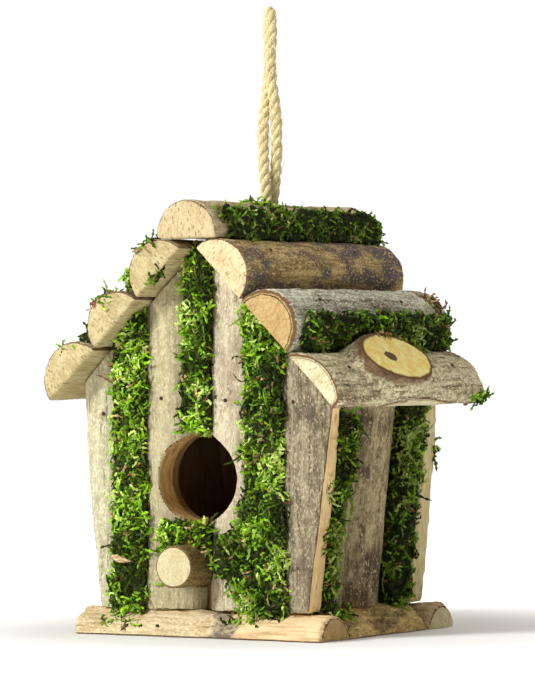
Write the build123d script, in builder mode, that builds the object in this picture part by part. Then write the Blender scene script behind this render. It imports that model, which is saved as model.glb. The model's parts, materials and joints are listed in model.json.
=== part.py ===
from build123d import *

import os
from math import cos, pi, radians, sin, tan

# Hanging birdhouse: a small plywood house clad in split branches, with a log roof and a rope loop.
#
# X runs to the right, Y from front to back and Z up, from the surface that the house stands on. Pieces are
# drawn with the ridge over X = 0, and keep_part moves them so that the origin is under the middle of the
# whole house. All sizes are in millimetres.

# ------------------------------------------------------------------ driving dimensions
ridge_x = -4.0  # the knot reaches out further than the other eaves, so the ridge is left of the middle

# Base: four split logs, flat side down, that stand out round the foot of the cladding
base_ledge_side = 9.5
base_ledge_front = 6.5
base_ledge_back = 12.5
base_log_width = 26.0
base_log_height = 11.0
base_end_chamfer = 1.2

# House body: a plywood box whose left and right walls lean outwards
panel_thickness = 4.0
floor_thickness = 5.0
flare_deg = 6.0
box_half_width = 39.0  # outside of the side panels, at the foot of the walls
box_front_y = -43.5
box_depth = 77.0
roof_peak_z = 168.0  # where the two roof planes meet
roof_pitch_deg = 45.0

# Cladding: split branches on the outside of the box
front_slat_thickness = 12.5
side_slat_thickness = 11.5
wall_edge_cover = 0.5  # how far the front and back cladding stands beyond the side cladding
front_joints = (-36.5, -3.5, 29.0)  # X of the joints between the front slats
front_joint_gap = 2.0
back_joints = (-30.0, 2.0, 33.5)
outer_slats_sawn_off = (7.0, 4.5)  # how far the outermost logs on the left and right reach past the flare
side_joints = {"left": (-19.0, 10.0), "right": (-16.0, 17.0)}  # Y of the joints
fit_gap = 0.2  # between pieces that are laid against each other

# Roof
ridge_overhang = (14.0, 24.0)  # past the front and back cladding
ridge_width = 29.0
ridge_height = 16.0
roof_front_overhang = 13.0
first_log_offset = 5.2  # from the peak, along the slope
left_roof_logs = ((30.4, 14.5, 23.0), (29.6, 13.8, 21.0), (31.6, 13.4, 22.0))  # width, height, back overhang
right_roof_logs = ((31.0, 14.5, 24.0), (32.0, 16.0, 21.0))
knot_log_width = 34.0
knot_log_trim = 3.0  # sawn off its lower edge
knot_log_height = 9.5
knot_log_overhang = 17.0
knot_centre_y = -12.0
knot_disc = (54.0, 28.0)  # the sawn branch stub, along the log and across it
knot_foot = (74.0, 34.0)  # where the swelling round the stub starts
knot_foot_lift = 2.5
knot_height = 14.5

# Entrance and perch
entrance_diameter = 38.0
entrance_x = -3.0
entrance_z = 67.0
perch_diameter = 18.0
perch_x = -6.0
perch_z = 30.0
perch_reach = 26.5  # from the plywood to the free end

# Rope: one length, up from the ridge, over and back down
rope_diameter = 5.0
rope_y = 1.0
rope_leg_offset = 2.75  # from the loop's middle to a leg's centre line, at the ridge
rope_hole_diameter = 11.2
rope_rise = 80.0  # from the pivot to the top of the loop's centre line
rope_top_offset = 5.0  # half the width of the loop where it goes over its hook
rope_clearance = 0.7  # between the ridge and the loop's rounded ends
rope_knot_diameter = 15.0
rope_gap = 0.3  # between the loop's rounded ends and the stubs below them

# Brads
brad_diameter = 1.3
wall_brad_length = 15.5
roof_brad_length = 20.0
wall_brad_below_eaves = 6.0
brad_proud = 0.15
# slat counted from 0, X, and how far below the eaves
front_brads = ((0, -49.7, 12.7), (1, -20.3, 6.0), (2, 5.9, 5.3), (2, 11.2, 6.6), (3, 44.0, 7.0))
side_brad_y = {"left": (-31.0, -4.5, 22.0), "right": (-19.8, 0.5, 25.3)}
base_brad_x = (-27.5, -19.4)
base_brad_z = 4.2

# Moss
moss_proud = 2.5  # beyond the crests of the wall logs
roof_moss_thickness = 4.0
moss_edge_radius = 3.5
moss_gap = 0.3

# ------------------------------------------------------------------ derived values
pitch = radians(roof_pitch_deg)
flare = radians(flare_deg)
wall_foot_z = base_log_height + 0.1
box_back_y = box_front_y + box_depth
front_crest_y = box_front_y - front_slat_thickness
back_crest_y = box_back_y + front_slat_thickness
roof_front_y = front_crest_y - roof_front_overhang
clad_half_width = box_half_width + side_slat_thickness + wall_edge_cover
wall_peak_z = roof_peak_z - fit_gap / cos(pitch)
parts = {}


def keep_part(name, shape):
    """Moves a finished piece to the house's own frame, labels it and files it under its node name."""
    placed = Pos(ridge_x, 0, 0) * shape
    placed.label = name
    parts[name] = placed


def wall_x(z, half_width_at_foot):
    """X of a leaning wall plane at height z."""
    return half_width_at_foot + (z - wall_foot_z) * tan(flare)


def eaves_z(half_width_at_foot):
    """Height where a leaning wall plane meets the underside of the roof."""
    return (wall_peak_z - (half_width_at_foot - wall_foot_z * tan(flare)) * tan(pitch)) / (
        1 + tan(flare) * tan(pitch)
    )


def slope_point(distance, lift, side):
    """A point in the XZ plane, by its distance down the slope from the peak and its lift off the roof plane."""
    return Vector(
        side * (distance * cos(pitch) + lift * sin(pitch)),
        roof_peak_z - distance * sin(pitch) + lift * cos(pitch),
    )


def roof_plane(side, down, lift, y):
    """A plane parallel to the roof: its Z leaves the roof and its X runs along Y."""
    origin = slope_point(down, lift, side)
    return Plane(origin=(origin.X, y, origin.Y), x_dir=(0, 1, 0), z_dir=(side * sin(pitch), 0, cos(pitch)))


def arc_radius(width, height):
    """Radius of a split log's bark."""
    return (width**2 / 4 + height**2) / (2 * height)


def half_round(start, end, height):
    """Draws a split log's end in the open sketch: the chord from start to end, and the bark to its left."""
    start = Vector(start)
    end = Vector(end)
    along = (end - start).normalized()
    crest = (start + end) / 2 + Vector(-along.Y, along.X) * height
    Line(start, end)
    ThreePointArc(end, crest, start)


def half_log(plane, start, end, height, length, grow=0.0):
    """A split log whose end lies on plane, running along its normal. grow makes a larger copy to cut with."""
    with BuildPart() as log:
        with BuildSketch(plane):
            with BuildLine():
                half_round(start, end, height)
            make_face()
            if grow:
                offset(amount=grow)
        extrude(amount=length)
    return log.part


def trimmed_to_walls(body, peak=None, foot=None):
    """Cuts a piece to the roof's two planes and the foot of the walls."""
    peak = wall_peak_z if peak is None else peak
    foot = wall_foot_z if foot is None else foot
    with BuildPart() as cut:
        add(body)
        for side in (-1, 1):
            slope = Plane(origin=(0, 0, peak), z_dir=(side * sin(pitch), 0, cos(pitch)))
            split(bisect_by=slope, keep=Keep.BOTTOM)
        split(bisect_by=Plane.XY.offset(foot), keep=Keep.TOP)
    return cut.part


def trimmed_to_flare(body, half_width_at_foot):
    """Saws a piece off at both leaning planes."""
    with BuildPart() as cut:
        add(body)
        for side in (-1, 1):
            leaning = Plane(
                origin=(side * half_width_at_foot, 0, wall_foot_z),
                z_dir=(side * cos(flare), 0, -sin(flare)),
            )
            split(bisect_by=leaning, keep=Keep.BOTTOM)
    return cut.part


def round_bar(x, z, y_from, y_to, diameter):
    """A round bar or drill along Y."""
    with BuildPart() as bar:
        with BuildSketch(Plane.XZ.offset(-y_to)):
            with Locations((x, z)):
                Circle(diameter / 2)
        extrude(amount=y_to - y_from)
    return bar.part


# ------------------------------------------------------------------ base frame
def base_log(name, plane, start, length, is_free):
    """A base log, with its free ends' edges taken off."""
    with BuildPart() as log:
        add(half_log(plane, start, (start[0] + base_log_width, 0), base_log_height, length))
        if is_free:
            ends = log.faces().filter_by(Axis.X)
            chamfer(ends.edges().filter_by(GeomType.CIRCLE), length=base_end_chamfer)
    keep_part(name, log.part)


base_half_width = clad_half_width + base_ledge_side
base_front_y = front_crest_y - base_ledge_front
base_back_y = back_crest_y + base_ledge_back
across = Plane(origin=(-base_half_width, 0, 0), x_dir=(0, 1, 0), z_dir=(1, 0, 0))
along_back = Plane.XZ.offset(-(base_back_y - base_log_width - fit_gap))
side_log_length = base_back_y - base_front_y - 2 * (base_log_width + fit_gap)
base_log("base_log_front", across, (base_front_y, 0), 2 * base_half_width, True)
base_log("base_log_back", across, (base_back_y - base_log_width, 0), 2 * base_half_width, True)
base_log("base_log_left", along_back, (-base_half_width, 0), side_log_length, False)
base_log("base_log_right", along_back, (base_half_width - base_log_width, 0), side_log_length, False)

# ------------------------------------------------------------------ plywood box
inner_half_width = box_half_width - panel_thickness / cos(flare)


def gable_outline():
    """The box's front: leaning sides and a gable, drawn in the open sketch."""
    shoulder_z = eaves_z(box_half_width)
    half_width = wall_x(shoulder_z, box_half_width)
    Polyline(
        (-box_half_width, wall_foot_z),
        (box_half_width, wall_foot_z),
        (half_width, shoulder_z),
        (0, wall_peak_z),
        (-half_width, shoulder_z),
        close=True,
    )


entrance_drill = round_bar(entrance_x, entrance_z, front_crest_y - 5, box_front_y + 10, entrance_diameter)

with BuildPart() as front_panel:
    with BuildSketch(Plane.XZ.offset(-(box_front_y + panel_thickness))):
        with BuildLine():
            gable_outline()
        make_face()
    extrude(amount=panel_thickness)
    add(entrance_drill, mode=Mode.SUBTRACT)
keep_part("front_panel", front_panel.part)

with BuildPart() as back_panel:
    with BuildSketch(Plane.XZ.offset(-box_back_y)):
        with BuildLine():
            gable_outline()
        make_face()
    extrude(amount=panel_thickness)
keep_part("back_panel", back_panel.part)

side_panel_depth = box_back_y - box_front_y - 2 * (panel_thickness + fit_gap / 2)
panel_back_plane = Plane.XZ.offset(-(box_back_y - panel_thickness - fit_gap / 2))
for side_name, side in (("left", -1), ("right", 1)):
    outer_eaves = eaves_z(box_half_width)
    inner_eaves = eaves_z(inner_half_width)
    with BuildPart() as side_panel:
        with BuildSketch(panel_back_plane):
            with BuildLine():
                Polyline(
                    (side * box_half_width, wall_foot_z),
                    (side * wall_x(outer_eaves, box_half_width), outer_eaves),
                    (side * wall_x(inner_eaves, inner_half_width), inner_eaves),
                    (side * inner_half_width, wall_foot_z),
                    close=True,
                )
            make_face()
        extrude(amount=side_panel_depth)
    keep_part(f"{side_name}_panel", side_panel.part)

floor_half_width = inner_half_width - fit_gap / 2
with BuildPart() as floor_board:
    with BuildSketch(panel_back_plane):
        with BuildLine():
            Polyline(
                (-floor_half_width, wall_foot_z),
                (floor_half_width, wall_foot_z),
                (wall_x(wall_foot_z + floor_thickness, floor_half_width), wall_foot_z + floor_thickness),
                (-wall_x(wall_foot_z + floor_thickness, floor_half_width), wall_foot_z + floor_thickness),
                close=True,
            )
        make_face()
    extrude(amount=side_panel_depth)
keep_part("floor_board", floor_board.part)

# ------------------------------------------------------------------ perch
perch_end_y = box_front_y - perch_reach
with BuildPart() as perch:
    add(round_bar(perch_x, perch_z, perch_end_y, box_front_y - fit_gap / 2, perch_diameter))
    chamfer(perch.faces().sort_by(Axis.Y)[0].edges(), length=0.6)
keep_part("perch", perch.part)
perch_drill = round_bar(perch_x, perch_z, perch_end_y, box_front_y + 1, perch_diameter + 2 * fit_gap)


# ------------------------------------------------------------------ front and back cladding
def slat_spans(joints):
    """(start, end) in X of each slat in a row, the outer two reaching past the flare."""
    reach = wall_x(eaves_z(clad_half_width), clad_half_width)
    edges = [-reach - outer_slats_sawn_off[0], *joints, reach + outer_slats_sawn_off[1]]
    return [(low + front_joint_gap / 2, high - front_joint_gap / 2) for low, high in zip(edges, edges[1:])]


def wall_slat(span, face_y, outwards, grow=0.0):
    """An untrimmed upright log on the front (outwards -1) or back (outwards 1) of the box."""
    start = Vector(span[0], face_y)
    end = Vector(span[1], face_y)
    if outwards < 0:
        start, end = end, start
    return half_log(Plane.XY, start, end, front_slat_thickness, roof_peak_z, grow)


front_spans = slat_spans(front_joints)
for number, span in enumerate(front_spans, start=1):
    with BuildPart() as slat:
        add(trimmed_to_flare(trimmed_to_walls(wall_slat(span, box_front_y, -1)), clad_half_width))
        add(entrance_drill, mode=Mode.SUBTRACT)
        add(perch_drill, mode=Mode.SUBTRACT)
    keep_part(f"front_slat_{number}", slat.part)

back_spans = slat_spans(back_joints)
for number, span in enumerate(back_spans, start=1):
    slat = trimmed_to_flare(trimmed_to_walls(wall_slat(span, box_back_y, 1)), clad_half_width)
    keep_part(f"back_slat_{number}", slat)


# ------------------------------------------------------------------ side cladding
def side_slat_height(span):
    """A narrow side log is a thinner branch: never more than a half-round."""
    return min(side_slat_thickness, (span[1] - span[0]) / 2)


def side_slat(side, span, grow=0.0):
    """An untrimmed log that leans with the left (side -1) or right (side 1) panel."""
    axis = Vector(side * sin(flare), 0, cos(flare))
    foot = Vector(side * box_half_width, 0, wall_foot_z) - axis * base_log_height
    plane = Plane(origin=foot, x_dir=(0, 1, 0), z_dir=axis)
    start = Vector(span[0], 0)
    end = Vector(span[1], 0)
    if side > 0:
        start, end = end, start
    return half_log(plane, start, end, side_slat_height(span), roof_peak_z, grow)


side_spans = {}
for side_name, side in (("left", -1), ("right", 1)):
    edges = [box_front_y, *side_joints[side_name], box_back_y]
    side_spans[side_name] = [(a + fit_gap / 2, b - fit_gap / 2) for a, b in zip(edges, edges[1:])]
    for number, span in enumerate(side_spans[side_name], start=1):
        keep_part(f"{side_name}_slat_{number}", trimmed_to_walls(side_slat(side, span)))


# ------------------------------------------------------------------ roof logs
def roof_log(side, offset_down, width, height, overhang, grow=0.0):
    """A split log that lies along Y, flat side on the roof plane."""
    upper = slope_point(offset_down, 0, side)
    lower = slope_point(offset_down + width, 0, side)
    start, end = (upper, lower) if side > 0 else (lower, upper)
    back_y = back_crest_y + overhang
    return half_log(Plane.XZ.offset(-back_y), start, end, height, back_y - roof_front_y, grow)


roof_rows = {"left": [], "right": []}  # (offset, width, height, back overhang) of each log
for side_name, rows in (("left", left_roof_logs), ("right", right_roof_logs)):
    down = first_log_offset
    for width, height, overhang in rows:
        roof_rows[side_name].append((down, width, height, overhang))
        down += width + fit_gap
knot_log_offset = down
knot_row = (knot_log_offset, knot_log_width, knot_log_height, knot_log_overhang)

for side_name, side in (("left", -1), ("right", 1)):
    for number, row in enumerate(roof_rows[side_name], start=1):
        keep_part(f"roof_log_{side_name}_{number}", roof_log(side, *row))

# The lowest log on the right: a thin slab with a sawn branch stub swelling out of it
knot_down = knot_log_offset + (knot_log_width - knot_log_trim) / 2


def knot_log_body(grow=0.0):
    """The knotted log before its edges are sawn square."""
    with BuildPart() as body:
        add(roof_log(1, *knot_row, grow))
        with BuildSketch(roof_plane(1, knot_down, knot_foot_lift, knot_centre_y)):
            Ellipse(knot_foot[0] / 2 + grow, knot_foot[1] / 2 + grow)
        with BuildSketch(roof_plane(1, knot_down, knot_height + grow, knot_centre_y)):
            Ellipse(knot_disc[0] / 2 + grow, knot_disc[1] / 2 + grow)
        loft()
    return body.part


with BuildPart() as knot_log:
    add(knot_log_body())
    lower_edge = slope_point(knot_log_offset + knot_log_width - knot_log_trim, 0, 1)
    saw = Plane(origin=(lower_edge.X, 0, lower_edge.Y), z_dir=(cos(pitch), 0, -sin(pitch)))
    split(bisect_by=saw, keep=Keep.BOTTOM)
    upper_edge = slope_point(knot_log_offset, 0, 1)
    butt = Plane(origin=(upper_edge.X, 0, upper_edge.Y), z_dir=(-cos(pitch), 0, sin(pitch)))
    split(bisect_by=butt, keep=Keep.BOTTOM)
keep_part("roof_log_knot", knot_log.part)


def crest_z(side_name, side):
    """Height of the top of the first log beside the ridge."""
    down, width, height, _ = roof_rows[side_name][0]
    radius = arc_radius(width, height)
    return slope_point(down + width / 2, height - radius, side).Y + radius


ridge_flat_z = max(crest_z("left", -1), crest_z("right", 1)) + fit_gap / 2
ridge_top_z = ridge_flat_z + ridge_height
ridge_front_y = front_crest_y - ridge_overhang[0]
ridge_back_y = back_crest_y + ridge_overhang[1]


def ridge_body(grow=0.0):
    """The ridge log without its rope hole."""
    start = (-ridge_width / 2, ridge_flat_z)
    end = (ridge_width / 2, ridge_flat_z)
    length = ridge_back_y - ridge_front_y
    return half_log(Plane.XZ.offset(-ridge_back_y), start, end, ridge_height, length, grow)


with BuildPart() as ridge_log:
    add(ridge_body())
    with BuildSketch(Plane.XY.offset(ridge_flat_z)):
        with Locations((0, rope_y)):
            Circle(rope_hole_diameter / 2)
    extrude(amount=ridge_height + 1, mode=Mode.SUBTRACT)
keep_part("ridge_log", ridge_log.part)

# ------------------------------------------------------------------ rope
rope_radius = rope_diameter / 2
pivot_z = ridge_top_z + rope_radius + rope_clearance
# Where a leg lies round the loop's middle line: share of the height, turn in degrees, and share of the way
# out from its offset at the ridge to its offset at the top
rope_route = (
    (0.0, 90.0, 0.0),
    (0.11, 62.0, 0.02),
    (0.22, 36.0, 0.06),
    (0.33, 27.0, 0.09),
    (0.43, 14.0, 0.07),
    (0.53, -24.0, 0.05),
    (0.64, -54.0, 0.12),
    (0.76, -60.0, 0.36),
    (0.88, -49.0, 0.71),
    (1.0, -58.0, 1.0),
)


def rope_leg(turned):
    """The corner points of one leg, from the ridge up; turned by 180 degrees for the other leg."""
    points = []
    for share, turn, spread in rope_route:
        out = rope_leg_offset + (rope_top_offset - rope_leg_offset) * spread
        angle = radians(turn + turned)
        points.append(Vector(out * cos(angle), rope_y + out * sin(angle), pivot_z + rope_rise * share))
    return points


def corner_radius(before, corner, after):
    """The largest arc that a route's corner has room for."""
    into = corner - before
    out = after - corner
    half_turn = radians(into.get_angle(out)) / 2
    return 0.45 * min(into.length, out.length) / tan(half_turn)


rope_points = rope_leg(0) + rope_leg(180)[::-1]
rope_radii = [corner_radius(*rope_points[i - 1 : i + 2]) for i in range(1, len(rope_points) - 1)]
print("rope arc radii", [round(radius, 1) for radius in rope_radii])

with BuildPart() as hanging_rope:
    with BuildLine():
        rope_path = FilletPolyline(*rope_points, radius=rope_radii)
    with BuildSketch(Plane(origin=rope_path @ 0, z_dir=rope_path % 0)):
        Circle(rope_radius)
    sweep(path=rope_path)
    tube_volume = hanging_rope.part.volume
    with Locations(rope_points[0], rope_points[-1]):
        Sphere(rope_radius)
keep_part("hanging_rope", hanging_rope.part)
section_volume = rope_path.length * pi * rope_radius**2
print("rope length", round(rope_path.length, 1), "volume check", round(tube_volume / section_volume, 4))

knot_radius = rope_knot_diameter / 2
rope_knot_z = roof_peak_z - (knot_radius + moss_gap) / cos(pitch)
with BuildPart() as rope_knot:
    with BuildSketch(Plane.XY.offset(rope_knot_z)):
        with Locations((0, rope_y - rope_leg_offset), (0, rope_y + rope_leg_offset)):
            Circle(rope_radius)
    extrude(amount=pivot_z - rope_radius - rope_gap - rope_knot_z)
    with Locations((0, rope_y, rope_knot_z)):
        Sphere(knot_radius)
keep_part("rope_knot", rope_knot.part)


# ------------------------------------------------------------------ brads
def brad_group(name, length, places):
    """One node of separate brads; each place is (the middle of the head, the way the brad points)."""
    with BuildPart() as brads:
        for head, inwards in places:
            with BuildSketch(Plane(origin=head, z_dir=inwards)):
                Circle(brad_diameter / 2)
            extrude(amount=length)
    keep_part(name, brads.part)


def bark_height(span, height, at):
    """Height of a split log's bark over its flat side, at a place across its width."""
    radius = arc_radius(span[1] - span[0], height)
    middle = (span[0] + span[1]) / 2
    return (radius**2 - (at - middle) ** 2) ** 0.5 - radius + height


eaves = eaves_z(clad_half_width)
wall_brad_z = eaves - wall_brad_below_eaves
wall_brads = []
for slat_index, x, below_eaves in front_brads:
    out = bark_height(front_spans[slat_index], front_slat_thickness, x) + brad_proud
    wall_brads.append(((x, box_front_y - out, eaves - below_eaves), (0, 1, 0)))
brad_reach = wall_x(wall_brad_z, box_half_width) - panel_thickness
for span in back_spans:
    x = min(max((span[0] + span[1]) / 2, -brad_reach), brad_reach)
    out = bark_height(span, front_slat_thickness, x) + brad_proud
    wall_brads.append(((x, box_back_y + out, wall_brad_z), (0, -1, 0)))
for side_name, side in (("left", -1), ("right", 1)):
    lean = Vector(side * cos(flare), 0, -sin(flare))
    for span, y in zip(side_spans[side_name], side_brad_y[side_name]):
        foot = Vector(side * wall_x(wall_brad_z, box_half_width), y, wall_brad_z)
        out = bark_height(span, side_slat_height(span), y) + brad_proud
        wall_brads.append((foot + lean * out, lean * -1))
brad_group("wall_brads", wall_brad_length, wall_brads)

# The upper roof logs are nailed to the gable panels, the lowest ones to the cladding outside them
gable_ys = (box_front_y + panel_thickness / 2, box_back_y - panel_thickness / 2)
cladding_ys = (box_front_y - front_slat_thickness / 2, box_back_y + front_slat_thickness * 2 / 3)
roof_brads = []
for side, rows in ((-1, roof_rows["left"]), (1, roof_rows["right"] + [knot_row])):
    for row in rows:
        crest = roof_plane(side, row[0] + row[1] / 2, row[2] + brad_proud, 0)
        for y in cladding_ys if row is rows[-1] else gable_ys:
            roof_brads.append(((crest.origin.X, y, crest.origin.Z), crest.z_dir * -1))
brad_group("roof_brads", roof_brad_length, roof_brads)

base_brad_depth = base_log_width / 2 * (1 - (1 - (base_brad_z / base_log_height) ** 2) ** 0.5)
base_brads = [((x, base_front_y + base_brad_depth - brad_proud, base_brad_z), (0, 1, 0)) for x in base_brad_x]
brad_group("base_brads", wall_brad_length, base_brads)


# ------------------------------------------------------------------ moss
def moss_pad(plane, outline, thickness):
    """A pad of moss with a soft outer edge; outline is in the plane's own X and Y."""
    with BuildPart() as pad:
        with BuildSketch(plane):
            with BuildLine():
                Polyline(*outline, close=True)
            make_face()
        extrude(amount=thickness)
        fillet(pad.faces().sort_by(Axis(plane.origin, plane.z_dir))[-1].edges(), radius=moss_edge_radius)
    return pad.part


def fit_moss(name, pad, neighbours):
    """Cuts a pad back from the logs that it grows on and from the roof and floor, and keeps it."""
    with BuildPart() as moss:
        add(pad)
        for neighbour in neighbours:
            add(neighbour, mode=Mode.SUBTRACT)
    keep_part(name, moss.part)


def trimmed_moss(pad):
    """Cuts a wall pad to the roof planes and the foot of the walls."""
    return trimmed_to_walls(pad, wall_peak_z - moss_gap, wall_foot_z + moss_gap)


def strip(middle, half_width, low, high):
    """The outline of a plain upright strip."""
    return (
        (middle - half_width, low),
        (middle + half_width, low),
        (middle + half_width, high),
        (middle - half_width, high),
    )


front_moss_plane = Plane.XZ.offset(-box_front_y + moss_gap)
back_moss_plane = Plane(origin=(0, box_back_y + moss_gap, 0), x_dir=(1, 0, 0), z_dir=(0, 1, 0))
entrance_top = entrance_z + entrance_diameter / 2
entrance_foot = entrance_z - entrance_diameter / 2
perch_right = perch_x + perch_diameter / 2
perch_top = perch_z + perch_diameter / 2
left_joint, middle_joint, right_joint = front_joints
wall_moss_thickness = front_slat_thickness + moss_proud - moss_gap
front_logs = [wall_slat(span, box_front_y, -1, moss_gap) for span in front_spans]
front_logs.append(round_bar(
    entrance_x, entrance_z, front_crest_y - 9, box_front_y, entrance_diameter + 2 * moss_gap))
front_logs.append(round_bar(
    perch_x, perch_z, perch_end_y, box_front_y, perch_diameter + 2 * moss_gap))
front_moss = {
    "moss_front_left": strip(left_joint, 8.5, 0, roof_peak_z),
    "moss_front_middle": strip(middle_joint, 7.0, entrance_top + 1, roof_peak_z),
    "moss_front_right": (
        (right_joint - 9, 0),
        (right_joint + 9, 0),
        (right_joint + 13, perch_z),
        (right_joint + 10, entrance_z),
        (right_joint + 10, roof_peak_z),
        (right_joint - 10, roof_peak_z),
        (right_joint - 9, entrance_z),
        (right_joint - 12, entrance_foot),
        (perch_right + 2, entrance_foot - 4),
        (perch_right + 2, perch_z - 3),
        (right_joint - 12, perch_z - 10),
    ),
    "moss_perch": (
        (perch_x - 17, perch_top - 5),
        (perch_right + 1, perch_top - 5),
        (perch_right + 1, entrance_foot + 4),
        (perch_x - 15, entrance_foot + 2),
    ),
}
for name, outline in front_moss.items():
    fit_moss(name, trimmed_moss(moss_pad(front_moss_plane, outline, wall_moss_thickness)), front_logs)

back_logs = [wall_slat(span, box_back_y, 1, moss_gap) for span in back_spans]
for number, joint in enumerate(back_joints, start=1):
    # seen from behind, the sketch's own Y points down
    outline = [(x, -z) for x, z in strip(joint, 8.0, 0, roof_peak_z)]
    pad = trimmed_moss(moss_pad(back_moss_plane, outline, wall_moss_thickness))
    fit_moss(f"moss_back_{number}", pad, back_logs)

side_moss = {
    "moss_right_corner": ("right", 1, (
        (box_front_y + moss_gap, 0),
        (box_front_y + 8, 0),
        (box_front_y + 8, entrance_z - 10),
        (box_front_y + 17, entrance_z),
        (box_front_y + 15, eaves - 12),
        (box_front_y + moss_gap, eaves - 10),
    )),
    "moss_right_joint": ("right", 1, strip(side_joints["right"][1] + 7, 8.0, 0, roof_peak_z)),
    "moss_left_front": ("left", -1, strip(side_joints["left"][0], 7.0, 0, roof_peak_z)),
    "moss_left_rear": ("left", -1, strip(side_joints["left"][1] + 1, 8.0, 0, roof_peak_z)),
}
for name, (side_name, side, outline) in side_moss.items():
    lean = Vector(side * cos(flare), 0, -sin(flare))
    foot = Vector(side * box_half_width, 0, wall_foot_z) + lean * moss_gap
    # the sketch's own Y points up the right wall and down the left one
    outline = [(y, side * (z - wall_foot_z) / cos(flare)) for y, z in outline]
    pad = moss_pad(Plane(origin=foot, x_dir=(0, 1, 0), z_dir=lean), outline, side_slat_thickness + moss_proud)
    logs = [side_slat(side, span, moss_gap) for span in side_spans[side_name]]
    fit_moss(name, trimmed_moss(pad), logs)


def moss_over_log(name, centre, radius, angles, y_front, y_back, neighbours):
    """Moss over part of a log's bark, between two angles from upright, positive towards +X."""
    middle_angle = (angles[0] + angles[1]) / 2
    with BuildPart() as pad:
        with BuildSketch(Plane.XZ.offset(-y_back)):
            with BuildLine():
                rim = []
                for rim_radius in (radius + moss_gap, radius + roof_moss_thickness):
                    points = [
                        centre + Vector(sin(radians(a)), cos(radians(a))) * rim_radius
                        for a in (angles[0], middle_angle, angles[1])
                    ]
                    ThreePointArc(*points)
                    rim.append(points)
                Line(rim[0][0], rim[1][0])
                Line(rim[0][2], rim[1][2])
            section = make_face()
            fillet(section.vertices().sort_by_distance(centre)[-2:], radius=roof_moss_thickness / 2)
        extrude(amount=y_back - y_front)
    fit_moss(name, pad.part, neighbours)


def row_centre(side, row):
    """Centre of a roof log's bark arc, in XZ."""
    return slope_point(row[0] + row[1] / 2, row[2] - arc_radius(row[1], row[2]), side)


ridge_radius = arc_radius(ridge_width, ridge_height)
ridge_centre = Vector(0, ridge_top_z - ridge_radius)
moss_over_log(
    "moss_ridge",
    ridge_centre,
    ridge_radius,
    (44, 104),
    ridge_front_y + 10,
    ridge_back_y,
    [ridge_body(moss_gap), roof_log(1, *roof_rows["right"][0], moss_gap)],
)
# name: side, the log that it grows on, the log below, its angles, and where it starts and ends
slope_moss = {
    "moss_roof_right": (1, roof_rows["right"][1], knot_row, (70, 128), 5, 133),
    "moss_roof_left_upper": (-1, roof_rows["left"][0], roof_rows["left"][1], (-116, -84), 2, 90),
    "moss_roof_left_lower": (-1, roof_rows["left"][1], roof_rows["left"][2], (-120, -88), 3, 120),
}
for name, (side, row, row_below, angles, start, end) in slope_moss.items():
    below = knot_log_body(moss_gap) if row_below is knot_row else roof_log(side, *row_below, moss_gap)
    logs = [roof_log(side, *row, moss_gap), below]
    ends = (roof_front_y + start, roof_front_y + end)
    moss_over_log(name, row_centre(side, row), arc_radius(row[1], row[2]), angles, *ends, logs)

# ------------------------------------------------------------------ export
os.makedirs("parts", exist_ok=True)
for part_name, shape in parts.items():
    export_step(shape, f"parts/{part_name}.step")
print(len(parts), "pieces; ridge top", round(ridge_top_z, 2), "pivot", round(pivot_z, 2))
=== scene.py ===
import json
import math

import bmesh
import bpy
import numpy as np
from mathutils import Matrix, Vector, noise
from mathutils.bvhtree import BVHTree

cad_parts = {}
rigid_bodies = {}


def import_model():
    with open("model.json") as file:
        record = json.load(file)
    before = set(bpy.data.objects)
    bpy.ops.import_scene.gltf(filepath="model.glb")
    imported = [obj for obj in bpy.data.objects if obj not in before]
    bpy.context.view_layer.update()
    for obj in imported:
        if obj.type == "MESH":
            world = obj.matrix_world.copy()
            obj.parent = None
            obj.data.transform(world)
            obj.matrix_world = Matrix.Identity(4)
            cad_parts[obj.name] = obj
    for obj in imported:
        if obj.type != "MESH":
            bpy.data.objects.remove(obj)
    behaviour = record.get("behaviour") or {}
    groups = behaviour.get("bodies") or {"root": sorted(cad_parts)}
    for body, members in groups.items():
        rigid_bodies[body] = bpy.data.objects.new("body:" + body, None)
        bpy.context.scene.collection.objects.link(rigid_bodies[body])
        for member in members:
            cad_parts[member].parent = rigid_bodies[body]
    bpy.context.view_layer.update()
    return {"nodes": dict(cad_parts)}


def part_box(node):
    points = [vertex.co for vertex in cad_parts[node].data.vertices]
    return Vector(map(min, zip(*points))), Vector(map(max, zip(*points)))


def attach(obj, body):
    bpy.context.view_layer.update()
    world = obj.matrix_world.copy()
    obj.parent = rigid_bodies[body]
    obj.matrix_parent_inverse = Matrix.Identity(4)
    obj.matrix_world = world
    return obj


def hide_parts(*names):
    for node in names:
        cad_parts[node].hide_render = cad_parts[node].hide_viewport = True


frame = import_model()

# ---- sizes, in metres
MM = 0.001
MERGE = 1e-6
WALL_LEAN = math.radians(6)
ROOF_PITCH = math.radians(45)

CAMERA_PLACE = (0.94908, -1.65198, 0.12635)
CAMERA_TURN = math.radians(30)
CAMERA_LENS = 232.94
CAMERA_SHIFT = -0.003

ROPE_THICKNESS = 0.005
ROPE_CENTRE = (-0.004, 0.001)
ROPE_PIVOT_HEIGHT = 0.18758
ROPE_RISE = 0.08
ROPE_LEG_OFFSET = 0.00275
ROPE_TOP_OFFSET = 0.005
ROPE_PITCH = 15 * MM
STRAND_SHIFT = 40
HAIRS = 260
HAIRS_FROM = 0.196
# Share of the height, turn in degrees and spread of one leg. The other leg is the same, half a turn round.
# The first point is a little below the pivot, at the ridge log's bark.
ROPE_ROUTE = (
    (-0.032, 90, 0),
    (0.11, 62, 0.02),
    (0.22, 36, 0.06),
    (0.33, 27, 0.09),
    (0.43, 14, 0.07),
    (0.53, -24, 0.05),
    (0.64, -54, 0.12),
    (0.76, -60, 0.36),
    (0.88, -49, 0.71),
    (1, -58, 1),
)

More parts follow.
